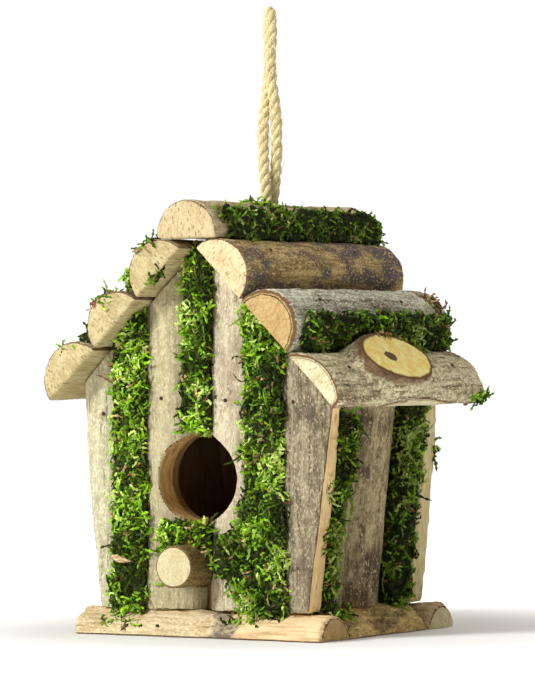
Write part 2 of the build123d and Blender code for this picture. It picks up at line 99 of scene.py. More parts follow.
X, Y, Z = Vector((1, 0, 0)), Vector((0, 1, 0)), Vector((0, 0, 1))


# ---- small tools
def activate(piece):
    """Selects only this piece and makes it the active one."""
    bpy.ops.object.select_all(action="DESELECT")
    piece.select_set(True)
    bpy.context.view_layer.objects.active = piece


def new_object(name, data):
    """A new object that is in the scene."""
    made = bpy.data.objects.new(name, data)
    bpy.context.collection.objects.link(made)
    return made


def set_mode(mode):
    bpy.ops.object.mode_set(mode=mode)


def edit(piece, operation, **settings):
    """Runs an edit-mode operation on a whole piece."""
    activate(piece)
    set_mode("EDIT")
    bpy.ops.mesh.select_all(action="SELECT")
    operation(**settings)
    set_mode("OBJECT")


def apply(piece, kind, **settings):
    """Adds a modifier with these settings and applies it."""
    modifier = piece.modifiers.new(kind.lower(), kind)
    for setting, value in settings.items():
        setattr(modifier, setting, value)
    activate(piece)
    bpy.ops.object.modifier_apply(modifier=modifier.name)


def joined(pieces):
    """The first of these pieces, with the others joined to it."""
    activate(pieces[0])
    for piece in pieces:
        piece.select_set(True)
    bpy.ops.object.join()
    return pieces[0]


def new_piece(name, points, faces):
    """A piece made from its points and faces."""
    mesh = bpy.data.meshes.new(name)
    mesh.from_pydata(points, [], faces)
    return new_object(name, mesh)


def merged_copy(node, name):
    """A new piece with a CAD node's shape, its loose triangles joined."""
    piece = new_object(name, frame["nodes"][node].data.copy())
    piece.data.materials.clear()
    edit(piece, bpy.ops.mesh.remove_doubles, threshold=MERGE)
    return piece


def points_of(mesh):
    """A mesh's points as an array."""
    flat = np.zeros(len(mesh.vertices) * 3)
    mesh.vertices.foreach_get("co", flat)
    return flat.reshape(-1, 3)


def unit(vectors):
    """Vectors with their lengths made one."""
    return vectors / np.maximum(np.linalg.norm(vectors, axis=-1, keepdims=True), 1e-12)


def faces_of(mesh):
    """The corners of each face of a mesh."""
    return [tuple(face.vertices) for face in mesh.polygons]


def surface_of(mesh):
    """A search tree of a mesh's faces."""
    return BVHTree.FromPolygons(points_of(mesh).tolist(), faces_of(mesh))


def shifted(faces, first):
    """The faces again, for points that start at a later number."""
    return [tuple(corner + first for corner in face) for face in faces]


def set_attribute(mesh, name, kind, field, values):
    """Stores one value for each point of a mesh."""
    attribute = mesh.attributes.new(name, kind, "POINT")
    attribute.data.foreach_set(field, np.asarray(values, np.float32).ravel())


def finish_piece(piece, body, slot, *nodes):
    """Puts a piece on its body, in the place of the CAD nodes that it shows."""
    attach(piece, body)
    if nodes:
        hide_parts(*nodes)


# ---- shader maths
class Value:
    """A socket in a material. Arithmetic on it adds Math nodes."""

    def __init__(self, paint, socket):
        self.paint = paint
        self.socket = socket

    def maths(self, operation, first, second):
        return self.paint.node("Math", {"operation": operation}, {0: first, 1: second})

    def __add__(self, other):
        return self.maths("ADD", self, other)

    def __sub__(self, other):
        return self.maths("SUBTRACT", self, other)

    def __mul__(self, other):
        return self.maths("MULTIPLY", self, other)

    def __rsub__(self, other):
        return self.maths("SUBTRACT", other, self)

    __radd__ = __add__
    __rmul__ = __mul__


class Paint:
    """One material and the nodes in it."""

    def __init__(self, name, roughness):
        self.material = bpy.data.materials.new(name)
        self.material.use_nodes = True
        self.tree = self.material.node_tree
        self.shader = self.tree.nodes["Principled BSDF"]
        self.shader.inputs["Roughness"].default_value = roughness
        self.shader.inputs["Specular IOR Level"].default_value = 0.25

    def node(self, kind, settings, sockets, output=0):
        """Any node: its settings, then the values or links of its sockets."""
        made = self.tree.nodes.new("ShaderNode" + kind)
        for setting, value in settings.items():
            setattr(made, setting, value)
        for socket, value in sockets.items():
            if isinstance(value, Value):
                self.tree.links.new(value.socket, made.inputs[socket])
            else:
                made.inputs[socket].default_value = value
        return Value(self, made.outputs[output])

    def set(self, socket, value):
        """Links a value to one of the shader's sockets."""
        self.tree.links.new(value.socket, self.shader.inputs[socket])

    def object_place(self):
        return self.node("TexCoord", {}, {}, "Object")

    def local_place(self, origin, axes):
        """The place measured from a log's own origin: across it, along it and out from its flat side."""
        turn = tuple(axes.to_euler())
        sockets = {"Vector": self.object_place(), "Location": tuple(origin), "Rotation": turn}
        return self.node("Mapping", {"vector_type": "TEXTURE"}, sockets)

    def scaled(self, place, scale, offset=(0, 0, 0)):
        """A place with each of its axes scaled, for a stretched pattern."""
        sockets = {0: place, 1: scale, 2: offset}
        return self.node("VectorMath", {"operation": "MULTIPLY_ADD"}, sockets)

    def noise(self, place, scale, detail=2, rough=0.5):
        sockets = {"Vector": place, "Scale": scale, "Detail": detail, "Roughness": rough}
        return self.node("TexNoise", {}, sockets)

    def streaks(self, stretch, scale, detail=2, rough=0.5):
        """Noise over the whole object, stretched along an axis."""
        return self.noise(self.scaled(self.object_place(), stretch), scale, detail, rough)

    def dots(self, place, scale):
        """The distance to the nearest of many scattered points."""
        return self.node("TexVoronoi", {}, {"Vector": place, "Scale": scale})

    def step(self, value, low, high):
        """0 below low and 1 above high, smooth in between. High may be the smaller of the two."""
        first, last = (low, high) if low < high else (high, low)
        sockets = {"Value": value, "From Min": first, "From Max": last}
        rising = self.node("MapRange", {"interpolation_type": "SMOOTHSTEP"}, sockets)
        return rising if low < high else 1 - rising

    def mix(self, factor, first, second):
        """One colour passing into another."""
        sockets = {0: factor, 6: self.colour(first), 7: self.colour(second)}
        return self.node("Mix", {"data_type": "RGBA"}, sockets, 2)

    def shade(self, colour, strength):
        """A colour made darker or lighter by a value."""
        sockets = {0: colour, "Scale": strength}
        return self.node("VectorMath", {"operation": "SCALE"}, sockets)

    def colour(self, value):
        return value if isinstance(value, Value) else (*value, 1)

    def attribute(self, name, output):
        return self.node("Attribute", {"attribute_name": name}, {}, output)

    def length(self, place):
        """How far a place is from its origin."""
        return self.node("VectorMath", {"operation": "LENGTH"}, {0: place}, "Value")

    def wave(self, value):
        return self.node("Math", {"operation": "SINE"}, {0: value})

    def finished(self, colour, height, distance, roughness=None):
        """The material, once its colour, its relief and sometimes its roughness are set."""
        self.set("Base Color", colour)
        sockets = {"Height": height, "Distance": distance, "Strength": 1}
        self.set("Normal", self.node("Bump", {}, sockets))
        if roughness:
            self.set("Roughness", roughness)
        return self.material


# ---- camera
def make_camera():
    camera = new_object("camera", bpy.data.cameras.new("camera"))
    camera.location = CAMERA_PLACE
    camera.rotation_euler = (math.radians(90), 0, CAMERA_TURN)
    camera.data.lens = CAMERA_LENS
    camera.data.sensor_width = 36
    camera.data.shift_y = CAMERA_SHIFT
    bpy.context.scene.camera = camera


# ---- rope
def rope_points():
    """The route's points: up one leg, over the top and down the other."""
    legs = []
    for half_turn in (0, 180):
        leg = []
        for share, turn, spread in ROPE_ROUTE:
            out = ROPE_LEG_OFFSET + (ROPE_TOP_OFFSET - ROPE_LEG_OFFSET) * spread
            angle = math.radians(turn + half_turn)
            x = ROPE_CENTRE[0] + out * math.cos(angle)
            y = ROPE_CENTRE[1] + out * math.sin(angle)
            leg.append((x, y, ROPE_PIVOT_HEIGHT + ROPE_RISE * share))
        legs.append(leg)
    return legs[0] + legs[1][::-1]


def spline_line(points):
    """The points down the middle of a cord that follows a smooth NURBS curve."""
    curve = bpy.data.curves.new("route", "CURVE")
    curve.dimensions = "3D"
    curve.resolution_u = 24
    spline = curve.splines.new("NURBS")
    spline.points.add(len(points) - 1)
    for point, place in zip(spline.points, points):
        point.co = (*place, 1)
    spline.order_u = 3
    spline.use_endpoint_u = True
    bare = bpy.data.objects.new("route", curve)
    mesh = bpy.data.meshes.new_from_object(bare)
    line = points_of(mesh)
    bpy.data.meshes.remove(mesh)
    bpy.data.objects.remove(bare)
    bpy.data.curves.remove(curve)
    return line


def evenly(line, step):
    """The line again, with points a step apart."""
    along = np.concatenate([[0], np.cumsum(np.linalg.norm(np.diff(line, axis=0), axis=1))])
    at = np.linspace(0, along[-1], max(2, round(along[-1] / step)))
    return np.stack([np.interp(at, along, line[:, axis]) for axis in range(3)], axis=1), at


def frames_along(line):
    """Two directions across the line at each point, which turn with it and don't spin."""
    ahead = unit(np.gradient(line, axis=0))
    side = np.cross(ahead[0], (0.3, 0.9, 0.2))
    sides = []
    for direction in ahead:
        side = unit(side - (side @ direction) * direction)
        sides.append(side)
    sides = np.array(sides)
    return sides, np.cross(ahead, sides)


def tube_faces(start, rings, corners):
    """The faces of a closed tube whose points stand ring after ring."""
    faces = []
    for ring in range(start, start + (rings - 1) * corners, corners):
        for corner in range(corners):
            near, side = ring + corner, ring + (corner + 1) % corners
            faces.append((near, side, side + corners, near + corners))
    last = start + (rings - 1) * corners
    faces.append(tuple(range(start + corners - 1, start - 1, -1)))
    faces.append(tuple(range(last, last + corners)))
    return faces


def strand_rope(name, line, thickness, pitch):
    """Three twisted strands round a line, as one piece."""
    strand = 0.25 * thickness
    orbit = 0.5 * thickness - strand
    corners = 12
    line, at = evenly(line, 0.7 * MM)
    first, second = frames_along(line)
    rings = len(line)
    points, faces, grain = [], [], []
    around = np.linspace(0, 2 * math.pi, corners, endpoint=False)[:, None]
    for number in range(3):
        twist = 2 * math.pi * (at / pitch + number / 3)
        centre = line + orbit * (np.cos(twist)[:, None] * first + np.sin(twist)[:, None] * second)
        out, flank = frames_along(centre)
        swell = strand * (1 + 0.06 * np.sin(at * 900 + number * 2))
        offset = np.cos(around) * out[:, None] + np.sin(around) * flank[:, None]
        points.append(centre[:, None] + swell[:, None, None] * offset)
        spun = around[:, 0] + at[:, None] * 2 * math.pi / (pitch * 1.6)
        height = np.broadcast_to(at[:, None] / strand + STRAND_SHIFT * number, spun.shape)
        grain.append(np.stack([np.cos(spun), np.sin(spun), height], axis=2))
        faces += tube_faces(number * rings * corners, rings, corners)
    piece = new_piece(name, np.concatenate(points).reshape(-1, 3).tolist(), faces)
    set_attribute(piece.data, "grain", "FLOAT_VECTOR", "vector", np.concatenate(grain))
    piece.data.shade_smooth()
    edit(piece, bpy.ops.mesh.normals_make_consistent, inside=False)
    return piece, line


def hairs(name, line, thickness, random):
    """Loose fibres that stand off a rope, as one piece."""
    first, second = frames_along(line)
    steps = 7
    points, faces = [], []
    usable = np.flatnonzero(line[:, 2] > HAIRS_FROM)
    for _ in range(HAIRS):
        ring = random.choice(usable)
        angle = random.uniform(0, 2 * math.pi)
        out = math.cos(angle) * first[ring] + math.sin(angle) * second[ring]
        ahead = np.cross(first[ring], second[ring]) * random.choice((-1, 1))
        side = np.cross(out, ahead)
        length = random.uniform(3, 11) * MM
        lift = random.uniform(0.02, 0.28)
        curl = random.uniform(-0.5, 0.9)
        drift = random.uniform(-0.6, 0.6)
        place = line[ring] + out * thickness * 0.44
        start = len(points)
        for step in range(steps):
            share = step / (steps - 1)
            rise = lift + curl * share * share
            direction = ahead + out * rise + side * drift * share
            direction = unit(direction)
            across = unit(np.cross(direction, out))
            other = np.cross(direction, across)
            width = 0.09 * MM * (1 - 0.6 * share)
            for corner in range(3):
                turn = corner * 2 * math.pi / 3
                points.append(place + width * (math.cos(turn) * across + math.sin(turn) * other))
            place = place + direction * length / (steps - 1)
        faces += tube_faces(start, steps, 3)
    return new_piece(name, [tuple(p) for p in points], faces)


def sisal(name, light, dark):
    """Twisted plant fibre: pale, with darker lines between the fibres."""
    paint = Paint(name, 0.85)
    place = paint.attribute("grain", "Vector")
    fibres = paint.noise(paint.scaled(place, (5, 5, 0.35)), 1.6, 3, 0.6)
    blotch = paint.noise(paint.object_place(), 150)
    colour = paint.mix(paint.step(fibres, 0.36, 0.6), dark, light)
    colour = paint.mix(paint.step(blotch, 0.5, 0.75) * 0.35, colour, dark)
    return paint.finished(colour, fibres, 0.35 * MM)


def knot_line(centre, radius):
    """A trefoil, the line of a simple knot."""
    turns = np.linspace(0, 2 * math.pi, 160)
    x = np.sin(turns) + 2 * np.sin(2 * turns)
    y = np.cos(turns) - 2 * np.cos(2 * turns)
    z = -np.sin(3 * turns) * 1.6
    return np.array(centre) + radius / 3 * np.stack([x, y, z], axis=1)


def make_rope():
    random = np.random.default_rng(11)
    fibre = sisal("sisal", (0.97, 0.9, 0.56), (0.68, 0.52, 0.22))
    line = spline_line(rope_points())
    rope, followed = strand_rope("rope", line, ROPE_THICKNESS, ROPE_PITCH)
    rope.data.materials.append(fibre)
    finish_piece(rope, "rope", "rope", "hanging_rope")
    loose = hairs("rope_fibres", followed, ROPE_THICKNESS, random)
    loose.data.materials.append(sisal("loose_sisal", (0.92, 0.82, 0.55), (0.66, 0.48, 0.22)))
    finish_piece(loose, "rope", "rope")
    make_knot(fibre)


def make_knot(fibre):
    """The knot inside the house, and the two legs that rise from it through the ridge log."""
    low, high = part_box("rope_knot")
    middle = (low + high) / 2
    middle.z = low.z + (high.x - low.x) / 2
    pieces = [strand_rope("rope_end_knot", knot_line(middle, 4.6 * MM), 4.4 * MM, 13 * MM)[0]]
    for side in (-1, 1):
        leg = [(middle.x, middle.y + side * ROPE_LEG_OFFSET, z) for z in (middle.z, high.z + 0.2 * MM)]
        pieces.append(strand_rope("rope_leg", np.array(leg), ROPE_THICKNESS, ROPE_PITCH)[0])
    knot = joined(pieces)
    knot.data.materials.append(fibre)
    finish_piece(knot, "house", "rope", "rope_knot")


# ---- floor and light
WARM_SKY = (1, 0.86, 0.62, 1)
FLOOR_RADIUS = 0.9
FLOOR_HEIGHT = -0.2 * MM  # just under the base, so that the two faces don't mix


def make_studio():
    bpy.ops.object.select_all(action="DESELECT")
    place = (0, 0, FLOOR_HEIGHT)
    bpy.ops.mesh.primitive_circle_add(vertices=96, radius=FLOOR_RADIUS, fill_type="NGON", location=place)
    floor = bpy.context.object
    floor.name = "floor"
    paper = Paint("white_paper", 0.9)
    paper.shader.inputs["Base Color"].default_value = (0.9, 0.9, 0.9, 1)
    reach = paper.length(paper.object_place())
    paper.set("Emission Color", paper.mix(paper.step(reach, 0.1, 0.24), (0.1, 0.1, 0.1), (1, 1, 1)))
    paper.shader.inputs["Emission Strength"].default_value = 0.7
    floor.data.materials.append(paper.material)
    world = bpy.data.worlds.new("studio")
    world.use_nodes = True
    nodes, links = world.node_tree.nodes, world.node_tree.links
    seen, either = nodes.new("ShaderNodeLightPath"), nodes.new("ShaderNodeMixShader")
    soft, white = nodes["Background"], nodes.new("ShaderNodeBackground")
    for sky, colour, strength in ((soft, WARM_SKY, 0.2), (white, (1, 1, 1, 1), 1.05)):
        sky.inputs["Color"].default_value = colour
        sky.inputs["Strength"].default_value = strength
    for number, output in enumerate((seen.outputs["Is Camera Ray"], soft.outputs[0], white.outputs[0])):
        links.new(output, either.inputs[number])
    links.new(either.outputs[0], nodes["World Output"].inputs["Surface"])
    bpy.context.scene.world = world
    add_lamp("key", (-0.95, -2.1, 1.35), (0, 0, 0.08), 0.6, 68)
    add_lamp("top", (0.3, 0.2, 2.2), (0, 0, 0.1), 1.4, 20)
    view = bpy.context.scene.view_settings
    view.view_transform = "Standard"
    view.look = "None"


def add_lamp(name, place, target, size, power):
    lamp = bpy.data.lights.new(name, "AREA")
    lamp.size = size
    lamp.energy = power
    holder = new_object(name, lamp)
    holder.location = place
    aim = Vector(target) - Vector(place)
    holder.rotation_euler = aim.to_track_quat("-Z", "Y").to_euler()


# ---- logs
def leaning(side):
    """Along and out of a side wall that leans outwards."""
    along = Vector((side * math.sin(WALL_LEAN), 0, math.cos(WALL_LEAN)))
    return along, Vector((side * math.cos(WALL_LEAN), 0, -math.sin(WALL_LEAN)))


def roof_slope(side):
    """Along and out of a roof slope."""
    return Y, Vector((side * math.sin(ROOF_PITCH), 0, math.cos(ROOF_PITCH)))


class Log:
    """A split branch: which way it lies, and where its own origin is."""

    def __init__(self, node, along, out):
        self.node = node
        self.along = along
        self.out = out
        self.across = along.cross(out)
        self.axes = Matrix((self.across, self.along, self.out)).transposed()
        points = points_of(frame["nodes"][node].data) @ np.array(self.axes)
        low, high = points.min(axis=0), points.max(axis=0)
        self.size = high - low
        own = Vector(((low[0] + high[0]) / 2, (low[1] + high[1]) / 2, low[2]))
        self.origin = self.axes @ own


def soft_noise(name, size, depth=2):
    """A cloudy pattern that moves a surface."""
    pattern = bpy.data.textures.new(name, "CLOUDS")
    pattern.noise_scale = size
    pattern.noise_depth = depth
    return pattern


def displace(piece, log, pattern, strength, stretch, group, shift):
    """Moves a log's surface by a pattern that is stretched along the log."""
    guide = new_object("guide", None)
    stretched = log.axes.to_4x4() @ Matrix.Diagonal((1, stretch, 1, 1))
    guide.matrix_world = Matrix.Translation(log.origin + shift) @ stretched
    bpy.context.view_layer.update()
    apply(
        piece,
        "DISPLACE",
        texture=pattern,
        texture_coords="OBJECT",
        texture_coords_object=guide,
        strength=strength,
        mid_level=0.5,
        vertex_group=group,
    )
    bpy.data.objects.remove(guide)


BARK, SAWN, HOLE, STUB = 0, 1, 2, 3
SLIGHT_TURN = math.radians(0.5)
SHARP_TURN = math.radians(24)
DEEP = 20 * MM
ENTRANCE_RADIUS = 19 * MM
ENTRANCE_HEIGHT = 67 * MM
SOCKET_RADIUS = 9 * MM
SOCKET_SIDESTEP = 3 * MM
STUB_REACH = 6 * MM
FADE = 1.2 * MM  # how far the bark's roughness reaches into the sawn wood


def round_holes():
    """The centres and radii of the holes through the front: the entrance and the perch's socket."""
    low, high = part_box("perch")
    socket = (low + high) / 2
    entrance = Vector((socket.x + SOCKET_SIDESTEP, 0, ENTRANCE_HEIGHT))
    return ((entrance, ENTRANCE_RADIUS), (socket, SOCKET_RADIUS))


def in_front_hole(piece, place, normal):
    if not piece.startswith("front_slat") or abs(normal.y) > 0.3:
        return False
    return any(
        math.hypot(place.x - centre.x, place.z - centre.z) < radius + 0.6 * MM
        for centre, radius in round_holes_made
    )


def bark_tree(piece):
    """Two search trees of a log's faces: all of them, with which are bark, and the bark alone."""
    shape = bmesh.new()
    shape.from_mesh(piece.data)
    bmesh.ops.triangulate(shape, faces=shape.faces)
    shape.faces.ensure_lookup_table()
    bark = []
    for face in shape.faces:
        turns = [abs(edge.calc_face_angle(0)) for edge in face.edges]
        curved = any(SLIGHT_TURN < turn < SHARP_TURN for turn in turns)
        bark.append(curved and not in_front_hole(piece.name, face.calc_center_median(), face.normal))
    todo = [face for face in shape.faces if bark[face.index]]
    while todo:
        for edge in todo.pop().edges:
            for face in edge.link_faces:
                flush = edge.calc_face_angle(math.pi) <= SLIGHT_TURN
                if flush and not bark[face.index]:
                    bark[face.index] = True
                    todo.append(face)
    every = BVHTree.FromBMesh(shape)
    places = [tuple(vertex.co) for vertex in shape.verts]
    rounded = [tuple(v.index for v in face.verts) for face, is_bark in zip(shape.faces, bark) if is_bark]
    shape.free()
    return every, bark, BVHTree.FromPolygons(places, rounded)


SWELL = soft_noise("swell", 26 * MM)
LUMPS = soft_noise("lumps", 9 * MM)
RIDGES = soft_noise("ridges", 2.6 * MM, 3)
GRIT = soft_noise("grit", 1.7 * MM, 1)
SAW_MARKS = soft_noise("saw_marks", 3 * MM, 1)


def bored_wood(name):
    """The smooth wall of a bored hole, stained brown."""
    paint = Paint(name, 0.6)
    grain = paint.streaks((1, 1, 0.12), 500, 3, 0.6)
    rings = paint.streaks((0.2, 1, 0.2), 900)
    tone = grain * 0.6 + rings * 0.4
    colour = paint.mix(paint.step(tone, 0.38, 0.62), (0.46, 0.26, 0.075), (0.8, 0.54, 0.23))
    return paint.finished(colour, tone, 0.2 * MM, 0.5 + grain * 0.25)


def scar_depth(log, place):
    """How far a place is inside the shallow cut along the knot log's lower edge: below 0 outside it."""
    across, along, out = log.axes.transposed() @ (place - log.origin)
    if log.node != "roof_log_knot" or across < 0:
        return -1.0
    return 4.4 * MM * (1 - ((along - 6 * MM) / (35 * MM)) ** 2) - out


def kind_of(face, log, every, is_bark):
    """Whether a face of a log is bark, sawn wood, a hole's wall or the sawn side branch."""
    _, normal, nearest, _ = every.find_nearest(face.center)
    if is_bark[nearest]:
        return SAWN if scar_depth(log, face.center) > 0 else BARK
    if in_front_hole(log.node, face.center, face.normal):
        return HOLE
    if log.node == "roof_log_knot" and normal.dot(log.out) > 0.9:
        return STUB
    return SAWN


def make_log(log, fine, swell, lumps, ridges, grit, paints, slot):
    """A split branch in place of its CAD node, with rough bark and sawn faces."""
    piece = merged_copy(log.node, log.node + "_wood")
    every, is_bark, bark_only = bark_tree(piece)
    apply(piece, "REMESH", mode="VOXEL", voxel_size=fine, use_smooth_shade=True)
    apply(piece, "SMOOTH", factor=0.5, iterations=2)
    mesh = piece.data
    mesh.materials.clear()
    for paint in paints:
        mesh.materials.append(paint)
    kinds = [kind_of(face, log, every, is_bark) for face in mesh.polygons]
    mesh.polygons.foreach_set("material_index", kinds)
    places = [vertex.co for vertex in mesh.vertices]
    depth = [max(bark_only.find_nearest(p, DEEP)[3] or 0, 1.5 * scar_depth(log, p)) for p in places]
    set_attribute(mesh, "bark_depth", "FLOAT", "value", depth)
    if STUB in kinds:
        mark_stub(mesh, kinds)
    group = piece.vertex_groups.new(name="bark")
    sawn = piece.vertex_groups.new(name="sawn")
    for index, far in enumerate(depth):
        share = max(0.0, 1 - far / FADE)
        group.add([index], share, "REPLACE")
        sawn.add([index], 1 - share, "REPLACE")
    shift = Vector(log.origin) * 7
    displace(piece, log, SWELL, swell, 1.6, "", shift)
    displace(piece, log, LUMPS, lumps, 2, "bark", shift)
    displace(piece, log, RIDGES, ridges, 7.0, "bark", shift)
    displace(piece, log, GRIT, grit, 1.2, "bark", shift)
    displace(piece, log, SAW_MARKS, 0.35 * MM, 1, "sawn", shift)
    piece.vertex_groups.clear()
    if slot == "base_bark":
        places = points_of(mesh)
        places[:, 2] = np.maximum(places[:, 2], 0)
        mesh.vertices.foreach_set("co", places.ravel())
    mesh.shade_smooth()
    mark_rims(piece)
    finish_piece(piece, "house", slot, log.node)


def mark_stub(mesh, kinds):
    """Stores how near each point is to the sawn side branch: 1 on it, 0 at the end of its reach."""
    faces = [face for face, kind in zip(faces_of(mesh), kinds) if kind == STUB]
    stub = BVHTree.FromPolygons(points_of(mesh).tolist(), faces)
    found = [stub.find_nearest(vertex.co, STUB_REACH)[3] for vertex in mesh.vertices]
    near = [0 if far is None else 1 - far / STUB_REACH for far in found]
    set_attribute(mesh, "stub_near", "FLOAT", "value", near)


def mark_rims(piece):
    """Makes the edge between bark and sawn wood a crisp one."""
    shape = bmesh.new()
    shape.from_mesh(piece.data)
    for edge in shape.edges:
        faces = edge.link_faces
        if len(faces) == 2 and faces[0].material_index != faces[1].material_index:
            edge.smooth = False
    shape.to_mesh(piece.data)
    shape.free()


# How stretched each pattern of the bark is, its scale, its detail and its roughness
BARK_PATTERNS = (
    (0.07, 620, 3, 0.65),
    (0.3, 75, 3, 0.55),
    (0.6, 330, 3, 0.7),
    (0.5, 1250, 2, 0.7),
    (0.45, 70, 4, 0.65),
)


def bark(name, log, light, dark, patch, patches=0.35, flecks=0.5, depth=0.5):
    """Bark: long streaks, blotches, dark patches and small flecks, all drawn along the log."""
    paint = Paint(name, 0.9)
    place = paint.local_place(log.origin, log.axes)
    seed = tuple(20 * part for part in log.origin * 37)
    streaks, broad, mottle, grains, blotch = (
        paint.noise(paint.scaled(place, (1, stretch, 1), seed), scale, detail, rough)
        for stretch, scale, detail, rough in BARK_PATTERNS
    )
    speck = paint.dots(paint.scaled(place, (1.4, 0.55, 1.4), seed), 330)
    tone = streaks * 0.34 + mottle * 0.24 + grains * 0.3 + broad * 0.2
    colour = paint.mix(paint.step(tone, 0.46, 0.61), dark, light)
    edge = 0.68 - 0.2 * patches
    spread = blotch + mottle * 0.16 + grains * 0.22 - 0.19
    colour = paint.mix(paint.step(spread, edge, edge + 0.12) * (0.45 + 0.5 * patches), colour, patch)
    pits = paint.step(speck, 0.2, 0.09) * paint.step(mottle, 0.42, 0.6)
    deep = tuple(0.35 * part for part in dark)
    colour = paint.mix(pits * flecks, colour, deep)
    cracks = paint.step(streaks + grains * 0.3, 0.53, 0.42)
    colour = paint.mix(cracks * (0.5 + 0.4 * flecks), colour, deep)
    chips = paint.step(grains + mottle * 0.3, 0.7, 0.8)
    colour = paint.mix(chips * (0.25 + 0.5 * flecks), colour, tuple(min(1.0, 1.5 * part) for part in light))
    if log.node == "roof_log_knot":
        near = paint.attribute("stub_near", "Fac") + (mottle - 0.5) * 1.3 + (blotch - 0.5) * 1.6
        ring = paint.mix(paint.step(mottle, 0.4, 0.6), (0.12, 0.06, 0.03), (0.27, 0.16, 0.08))
        colour = paint.mix(paint.step(near, 0.35, 0.65) * 0.9, colour, ring)
    height = streaks * 0.5 + mottle * 0.6 + grains * 0.45 - pits * 0.25 - cracks * 0.3
    if log.node == "base_log_front":
        along = paint.node("SeparateXYZ", {}, {0: place}, "Y")
        worn = along + (blotch - 0.5) * 0.02 + (broad - 0.5) * 0.008
        grey = paint.step(worn, 0.004, 0.006) * paint.step(worn, 0.018, 0.016)
        mottled = paint.mix(paint.step(mottle, 0.42, 0.58), (0.13, 0.1, 0.07), (0.44, 0.38, 0.26))
        colour = paint.mix(grey * 0.85, colour, mottled)
        peeled = paint.step(worn, 0.017, 0.019)
        bare = paint.mix(paint.step(streaks, 0.35, 0.6), (0.68, 0.46, 0.23), (0.9, 0.68, 0.4))
        colour = paint.mix(peeled * 0.95, colour, bare)
    return paint.finished(colour, height, depth * MM, 0.8 + mottle * 0.15)


def sawn_wood(name, log, light, dark, rim, rings=0.4, pores=0.8, rim_width=0.9, crack=0.0):
    """Sawn wood: faint growth rings, pores and saw marks, with a dark rim next to the bark."""
    paint = Paint(name, 0.75)
    place = paint.local_place(log.origin, log.axes)
    seed = tuple(20 * part for part in log.origin * 53)
    fine = paint.noise(paint.scaled(place, (1, 0.045, 1), seed), 1100, 3, 0.7)
    broad = paint.noise(paint.scaled(place, (1, 0.2, 1), seed), 110)
    speck = paint.dots(paint.scaled(place, (1, 0.1, 0.42), seed), 720)
    marks = paint.noise(paint.scaled(place, (1, 0.12, 0.25), seed), 800)
    warp = paint.noise(place, 130, 1)
    ring = paint.wave((paint.length(paint.scaled(place, (1, 0, 1))) + warp * 0.004) * 4200)
    tone = fine * 0.45 + broad * 0.3 + ring * (0.05 * rings) + marks * 0.3
    colour = paint.mix(paint.step(tone, 0.4, 0.64), dark, light)
    dots = paint.step(speck, 0.34, 0.16) * paint.step(marks, 0.4, 0.54)
    colour = paint.mix(dots * pores, colour, tuple(0.5 * part for part in dark))
    wander = (broad - 0.5) * (0.0012 * rim_width) + (fine - 0.5) * (0.0006 * rim_width)
    far = paint.attribute("bark_depth", "Fac") + wander
    colour = paint.mix(paint.step(far, rim_width * MM, 0.6 * rim_width * MM), colour, rim)
    gap = paint.step(far, rim_width * MM, (rim_width + 0.15) * MM)
    gap = gap * paint.step(far, (rim_width + 0.55) * MM, (rim_width + 0.3) * MM)
    colour = paint.mix(gap * crack, colour, (0.02, 0.01, 0.005))
    height = fine * 0.5 + marks * 0.5 - dots * 0.4 + ring * 0.05 - gap * crack
    return paint.finished(colour, height, 0.4 * MM, 0.7 + fine * 0.15)


def stub_wood(name, log, place_of_stub):
    """The cut end of a side branch: pale yellow, with a dark heart and fine rings."""
    paint = Paint(name, 0.7)
    place = paint.local_place(place_of_stub, log.axes)
    reach = paint.length(paint.scaled(place, (1.75, 1, 0)))
    ring = paint.wave((reach + paint.noise(place, 90) * 0.005) * 2600)
    fine = paint.noise(place, 700, 3, 0.7)
    stain = paint.noise(place, 150, 3, 0.6)
    tone = ring * 0.012 + fine * 0.35 + stain * 0.55
    colour = paint.mix(paint.step(tone, 0.36, 0.56), (0.95, 0.68, 0.2), (1.0, 0.95, 0.4))
    specks = paint.step(paint.dots(place, 420), 0.2, 0.1) * paint.step(stain, 0.52, 0.62)
    colour = paint.mix(specks * 0.8, colour, (0.16, 0.08, 0.02))
    heart = paint.step(reach + (stain - 0.5) * 0.004, 0.0052, 0.0044)
    colour = paint.mix(heart, colour, (0.15, 0.09, 0.035))
    far = paint.attribute("bark_depth", "Fac") + (stain - 0.5) * 0.0024
    colour = paint.mix(paint.step(far, 2.4 * MM, 1.2 * MM), colour, (0.17, 0.08, 0.025))
    return paint.finished(colour, fine * 0.4 + ring * 0.08 - heart * 0.6, 0.4 * MM)


PALE_END = ((0.8, 0.66, 0.4), (0.56, 0.4, 0.2))
TAN_END = ((0.58, 0.42, 0.19), (0.4, 0.25, 0.09))
CREAM_END = ((0.76, 0.7, 0.46), (0.55, 0.46, 0.25))
LEFT_END = ((0.62, 0.53, 0.29), (0.42, 0.32, 0.15))
BROWN_RIM = (0.16, 0.085, 0.035)

